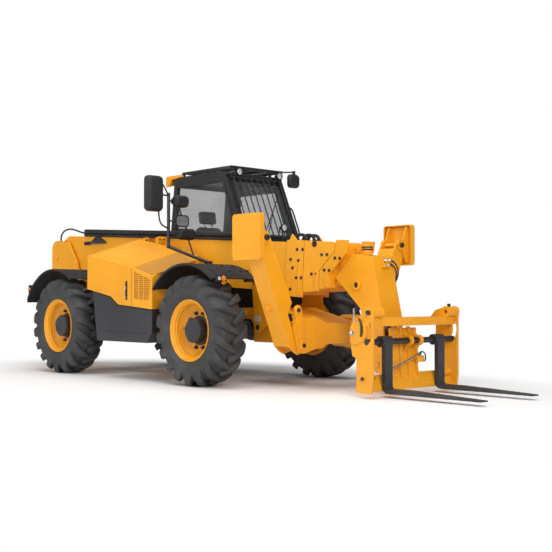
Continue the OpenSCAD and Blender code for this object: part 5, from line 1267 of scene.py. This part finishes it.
def buildSeals():
    f, seal, doorSeal = cabFit, Form(), Form()
    sealRing(seal, f["window"], f["windowSeal"], *f["windowY"])
    (y0, y1), s0, s1 = f["screenY"], f["screenEnds"][0], screenLength - f["screenEnds"][1]
    rim = [(y0, s0), (y1, s0), (y1, s1), (y0, s1)]
    seal.rows([[onScreen(s, y, out) for y, s in loop]
               for loop, out in sealLoops(rim, f["screenSeal"], *f["screenRise"])], loop=True)
    seal.done("glazing_seals", "chassis", "plastic")
    sealRing(doorSeal, inset(f["doorway"], f["doorInset"]), f["doorSeal"], *f["doorY"])
    doorSeal.done("door_seal", "door", "plastic")


def buildCabFittings():
    h, w = handleFit, wiperFit
    handle = Form().box(*h["plate"], 0.003).bend(h["grip"], h["gripD"], 10, 5)
    handle.lathe(h["lock"], (0, 1, 0), h["lockLine"], 18)
    handle.done("door_handle", "door", "plastic", sharp=50)
    wiper = Form().lathe(onScreen(*w["hub"]), screenOut, w["hubLine"], 20)
    wiper.sweep([onScreen(*p) for p in w["arm"]], w["armD"], 8)
    wiper.sweep([onScreen(*p) for p in w["blade"]], w["bladeD"], 8)
    wiper.done("screen_wiper", "chassis", "plastic", sharp=50)
    Form().bend(grabRail["run"], grabRail["d"], 12).done("grab_rail", "chassis", "paint_black", sharp=60)
    bars = Form()
    for low, high in roofBars:
        bars.box(low, high, 0.002)
    bars.done("roof_bars", "chassis", "paint_black")


# folded yellow hood behind the roof, on two arms that lie on its edges
rearHeader = {
    "arm": [(-2.225, 2.464), (-2.144, 2.464), (-2.115, 2.545), (-2.090, 2.559), (-1.840, 2.559),
            (-1.840, 2.585), (-1.860, 2.602), (-2.210, 2.602), (-2.225, 2.585)],
    "ends": ((0.232, 0.262), (1.053, 1.083)),
    "back": ((-2.224, 0.240, 2.486), (-2.206, 1.075, 2.599)),
    "top": ((-2.216, 0.240, 2.583), (-2.010, 1.075, 2.600)),
}


def buildRearHeader():
    h, header = rearHeader, Form()
    for low, high in h["ends"]:
        header.prism(h["arm"], "y", low, high, 0.003)
    for low, high in (h["back"], h["top"]):
        header.box(low, high, 0.004, 3)
    header.done("rear_header", "chassis", "paint_yellow")


# roof guard: one rod, repeated across the roof
slatFit = {"count": 11, "run": ((-1.855, 0.262, 2.603), (-0.878, 0.262, 2.603)), "d": 0.014, "spread": 0.79}


def slatTree():
    g = Growth("guardSlats", ["Pitch"], count=True)
    line = g.add("GeometryNodePoints", None, {"Count": g.given["Count"]})
    index = g.add("GeometryNodeInputIndex")
    spot = g.add("ShaderNodeCombineXYZ", None, {1: index * g.given["Pitch"]})
    placed = g.add("GeometryNodeSetPosition", None, {"Geometry": line, "Position": spot})
    return g.end(g.add("GeometryNodeInstanceOnPoints", None, {
        "Points": placed, "Instance": g.given["Source"]}))


def buildRoofSlats():
    f = slatFit
    rod = Form().tube(*f["run"], f["d"], 0.001, 10).mesh("roof_slats")
    sizes = {"Count": f["count"], "Pitch": f["spread"] / (f["count"] - 1), "Look": surfaces["paint_black"]}
    dress("roof_slats", slatTree().grow(rod, sizes), "chassis", "paint_black")


buildRearHeader()
buildSeals()
buildCabFittings()
buildRoofSlats()
print("cab fitted")


# steps, tank and boom top: grip studs, filler cap, pipe bends on the collar

stepFit = {"first": -1.475, "pitch": 0.05, "studs": 8, "y": (1.095, 1.115), "z": (0.512, 0.672),
           "studSize": (0.010, 0.004, 0.015)}
fillerFit = {
    "spot": (-1.70, 1.079, 0.665),
    "line": [(0, 0), (0.056, 0), (0.056, 0.006), (0.046, 0.008), (0.046, 0.026), (0.042, 0.031),
             (0.018, 0.031), (0.016, 0.027), (0, 0.027)],
}
bendFit = {
    "starts": ((-0.115, 4.835), (-0.020, 4.860), (0.075, 4.840)), "d": 0.036,
    "arch": [(0, 0.318), (0.004, 0.346), (0.032, 0.376), (0.085, 0.384), (0.138, 0.376), (0.166, 0.346),
             (0.170, 0.318)],
    "collarZ": 0.321, "collarSize": (0.027, 0.012, 0.014),
}


def buildSmallFittings():
    s, b = stepFit, bendFit
    spots = [((s["first"] + s["pitch"] * k, y, z), (0, 0, 1)) for k in range(s["studs"])
             for y in s["y"] for z in s["z"]]
    bolts("step_studs", "chassis", "paint_grey", spots, s["studSize"])
    cap = Form().lathe(fillerFit["spot"], (0, 1, 0), fillerFit["line"], 30)
    cap.done("filler_cap", "chassis", "plastic")
    bends = Form(boomFrame)
    for y, u in b["starts"]:
        bends.bend([(u + along, y, z) for along, z in b["arch"]], b["d"], 14)
        for along, _ in (b["arch"][0], b["arch"][-1]):
            collar(bends, (u + along, y, b["collarZ"]), (0, 0, 1), *b["collarSize"])
    bends.done("pipe_bends", "boom", "plastic", sharp=50)


buildSmallFittings()
print("small fittings set")


# seat: crowned cloth pads with sewn channels and piping, on a bellows base

seatFit = {"middle": 0.6575, "top": 1.262, "lean": 10, "points": 72, "corner": 0.22, "pull": 0.035,
           "channel": 0.007, "channelWidth": 0.011, "pipingD": 0.009, "pipingRing": 6}
# pad outline from the underside up and in to the middle of the top: height share, width share
padRings = [(0.00, 0.84), (0.03, 0.93), (0.12, 0.985), (0.40, 1.00), (0.66, 0.99), (0.82, 0.965),
            (0.92, 0.92), (0.98, 0.85), (1.00, 0.76), (1.00, 0.66), (1.00, 0.56), (1.00, 0.46),
            (1.00, 0.36), (1.00, 0.26), (1.00, 0.16), (1.00, 0.07)]
# size is depth, width and thickness; channels are the y of the sewn lines
cushionFit = {"spot": (-1.570, -0.122), "size": (0.49, 0.48, 0.100), "crown": 0.022,
              "channels": (-0.13, 0.13), "fill": 0.8}
backFit = {"along": 0.345, "size": (0.64, 0.45, 0.070), "crown": 0.022,
           "channels": (-0.12, 0.12), "fill": 0.7}
headFit = {"along": 0.790, "size": (0.17, 0.27, 0.060), "crown": 0.016, "channels": (), "fill": 0.8}
baseFit = {
    "x": -1.575, "round": 0.05, "long": 1.02,
    "folds": [(0.900, 0.42), (0.916, 0.42), (0.930, 0.36), (0.962, 0.40), (0.992, 0.35), (1.022, 0.39),
              (1.052, 0.345), (1.082, 0.38), (1.100, 0.40), (1.120, 0.44), (1.141, 0.45)],
    "armX": (-1.715, -1.430), "armY": 0.262, "armHalf": 0.03, "armZ": (1.425, 1.462),
    "post": [(-1.735, 0.232, 1.30), (-1.715, 0.250, 1.36), (-1.690, 0.262, 1.43)], "postD": 0.026,
    "prong": [(-1.800, 0.06, 1.88), (-1.862, 0.06, 1.97), (-1.872, 0.06, 2.03)], "prongD": 0.012,
    "backX": -1.755,
}


def evenLoop(outline, count):
    spots = [Vector(p) for p in outline]
    spots.append(spots[0])
    spans = [(b - a).length for a, b in zip(spots, spots[1:])]
    step, run, loop, i = sum(spans) / count, 0.0, [], 0
    for k in range(count):
        goal = k * step
        while run + spans[i] < goal - 1e-9:
            run += spans[i]
            i += 1
        loop.append(spots[i].lerp(spots[i + 1], (goal - run) / max(spans[i], 1e-9)))
    return loop


def padHeight(level, share, y, thick, spec):
    z = thick * level
    if level > 0.9:  # the top swells, and dips along each channel
        dips = [math.exp(-((y - c) / seatFit["channelWidth"]) ** 2) for c in spec["channels"]]
        z += spec["crown"] * (1 - share ** 2) - seatFit["channel"] * max(dips, default=0.0)
    return z


def seatPad(name, frame, spec):
    pad, piping = Form(frame), Form(frame)
    deep, wide, thick = spec["size"]
    base = evenLoop(roundRect(deep, wide, min(deep, wide) * seatFit["corner"], 8), seatFit["points"])
    rings = []
    for level, share in padRings:
        ring = []
        for p in base:
            corner = min(1, abs(p.x / (deep / 2) * p.y / (wide / 2)))
            pulled = share * (1 - seatFit["pull"] * (1 - corner))
            x, y = p.x * pulled, p.y * pulled
            ring.append((x, y, padHeight(level, share, y, thick, spec)))
        rings.append(ring)
    pad.rows(rings)
    edge = [(x, y, z + 0.001) for x, y, z in rings[seatFit["pipingRing"]]]
    piping.sweep(edge, seatFit["pipingD"], 8, loop=True)
    soft = pad.done(name, "chassis", "cloth", sharp=70)
    piping.done(name + "_piping", "chassis", "plastic", sharp=70)
    return soft


def onSeatBack(along):
    lean = math.radians(seatFit["lean"])
    rise = Vector((-math.sin(lean), 0, math.cos(lean)))
    spot = Vector((baseFit["backX"], seatFit["middle"], seatFit["top"])) + rise * along
    turn = Matrix(((rise.x, 0, rise.z), (0, 1, 0), (rise.z, 0, -rise.x)))
    return ground @ Matrix.Translation(spot) @ turn.to_4x4()


def buildSeat():
    y, top, f = seatFit["middle"], seatFit["top"], baseFit
    x, drop = cushionFit["spot"]
    cushion = seatPad("seat_cushion", ground @ Matrix.Translation((x, y, top + drop)), cushionFit)
    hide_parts("seat")
    seatPad("seat_back", onSeatBack(backFit["along"]), backFit)
    seatPad("head_rest", onSeatBack(headFit["along"]), headFit)
    base = Form()
    base.rows([[(f["x"] + a, y + b, z) for a, b in roundRect(w * f["long"], w, f["round"])]
               for z, w in f["folds"]])
    (x0, x1), (z0, z1), half = f["armX"], f["armZ"], f["armHalf"]
    for way in (-1, 1):
        middle = y + way * f["armY"]
        base.box((x0, middle - half, z0), (x1, middle + half, z1), 0.014, 3)
        for run, d, sides in ((f["post"], f["postD"], 10), (f["prong"], f["prongD"], 8)):
            base.sweep([(x, y + way * off, z) for x, off, z in run], d, sides)
    base.done("seat_base", "chassis", "plastic", sharp=40)


buildSeat()
print("seat padded")


# stage: a pale floor that runs out to white, a white world, and soft lamps

stage = {
    "half": 60.0, "floor": rgb(0.92, 0.92, 0.92), "white": rgb(1, 1, 1), "world": 0.21,
    "reach": (1.0, 1.9, 1.0), "fade": (3.3, 5.6),  # the floor turns white over this stretched distance
}
softboxes = [
    {"name": "topSoftbox", "spot": (0.5, -1.5, 9.0), "aim": (0.0, 0.0, 0.5), "size": 9.0, "watts": 720},
    {"name": "frontSoftbox", "spot": (10.5, -5.5, 5.5), "aim": (1.5, 0.0, 1.0), "size": 5.0, "watts": 760},
    {"name": "sideSoftbox", "spot": (-3.5, -10.5, 4.5), "aim": (-1.5, 0.0, 1.0), "size": 6.0, "watts": 400},
]


def studioFloor():
    p = Paint("studioFloor")
    reach = p.add("ShaderNodeVectorMath", {"operation": "MULTIPLY"}, {0: p.place(), 1: stage["reach"]})
    far = p.add("ShaderNodeVectorMath", {"operation": "LENGTH"}, {0: reach}, out=1)
    p.set(Base_Color=stage["floor"], Roughness=0.55)
    glow = p.add("ShaderNodeEmission", None, {"Color": stage["white"], "Strength": 1.0})
    camera = p.add("ShaderNodeLightPath", out="Is Camera Ray")
    seen = camera + p.add("ShaderNodeLightPath", out="Is Glossy Ray")
    share = p.spread(far, *stage["fade"]) * seen.math("MINIMUM", 1.0)
    blend = p.add("ShaderNodeMixShader", None, {0: share, 1: Flow(p, p.shader.outputs[0]), 2: glow})
    p.feed(p.output.inputs["Surface"], blend)
    return p.material


def buildFloor():
    mesh = bpy.data.meshes.new("studioFloor")
    s = stage["half"]
    mesh.from_pydata([(-s, -s, 0), (s, -s, 0), (s, s, 0), (-s, s, 0)], [], [(0, 1, 2, 3)])
    mesh.materials.append(studioFloor())
    floor = bpy.data.objects.new("studioFloor", mesh)
    scene.collection.objects.link(floor)


def buildWorld():
    scene.world = bpy.data.worlds.new("studioWorld")
    scene.world.use_nodes = True
    sky = NodeWork(scene.world.node_tree)
    camera = sky.add("ShaderNodeLightPath", out="Is Camera Ray")
    seen = camera.math("MAXIMUM", sky.add("ShaderNodeLightPath", out="Is Transmission Ray"))
    level = sky.add("ShaderNodeMapRange", None, {
        "Value": seen, "To Min": stage["world"], "To Max": 1.0}, out=0)
    back = sky.tree.nodes["Background"]
    sky.feed(back.inputs["Color"], stage["white"])
    sky.feed(back.inputs["Strength"], level)


def placeSoftboxes():
    for spec in softboxes:
        light = bpy.data.lights.new(spec["name"], "AREA")
        light.size, light.energy = spec["size"], spec["watts"]
        obj = bpy.data.objects.new(spec["name"], light)
        obj.location = spec["spot"]
        aim = Vector(spec["aim"]) - Vector(spec["spot"])
        obj.rotation_euler = aim.to_track_quat("-Z", "Y").to_euler()
        scene.collection.objects.link(obj)


buildFloor()
buildWorld()
placeSoftboxes()
scene.view_settings.view_transform = "Standard"
print("stage set")
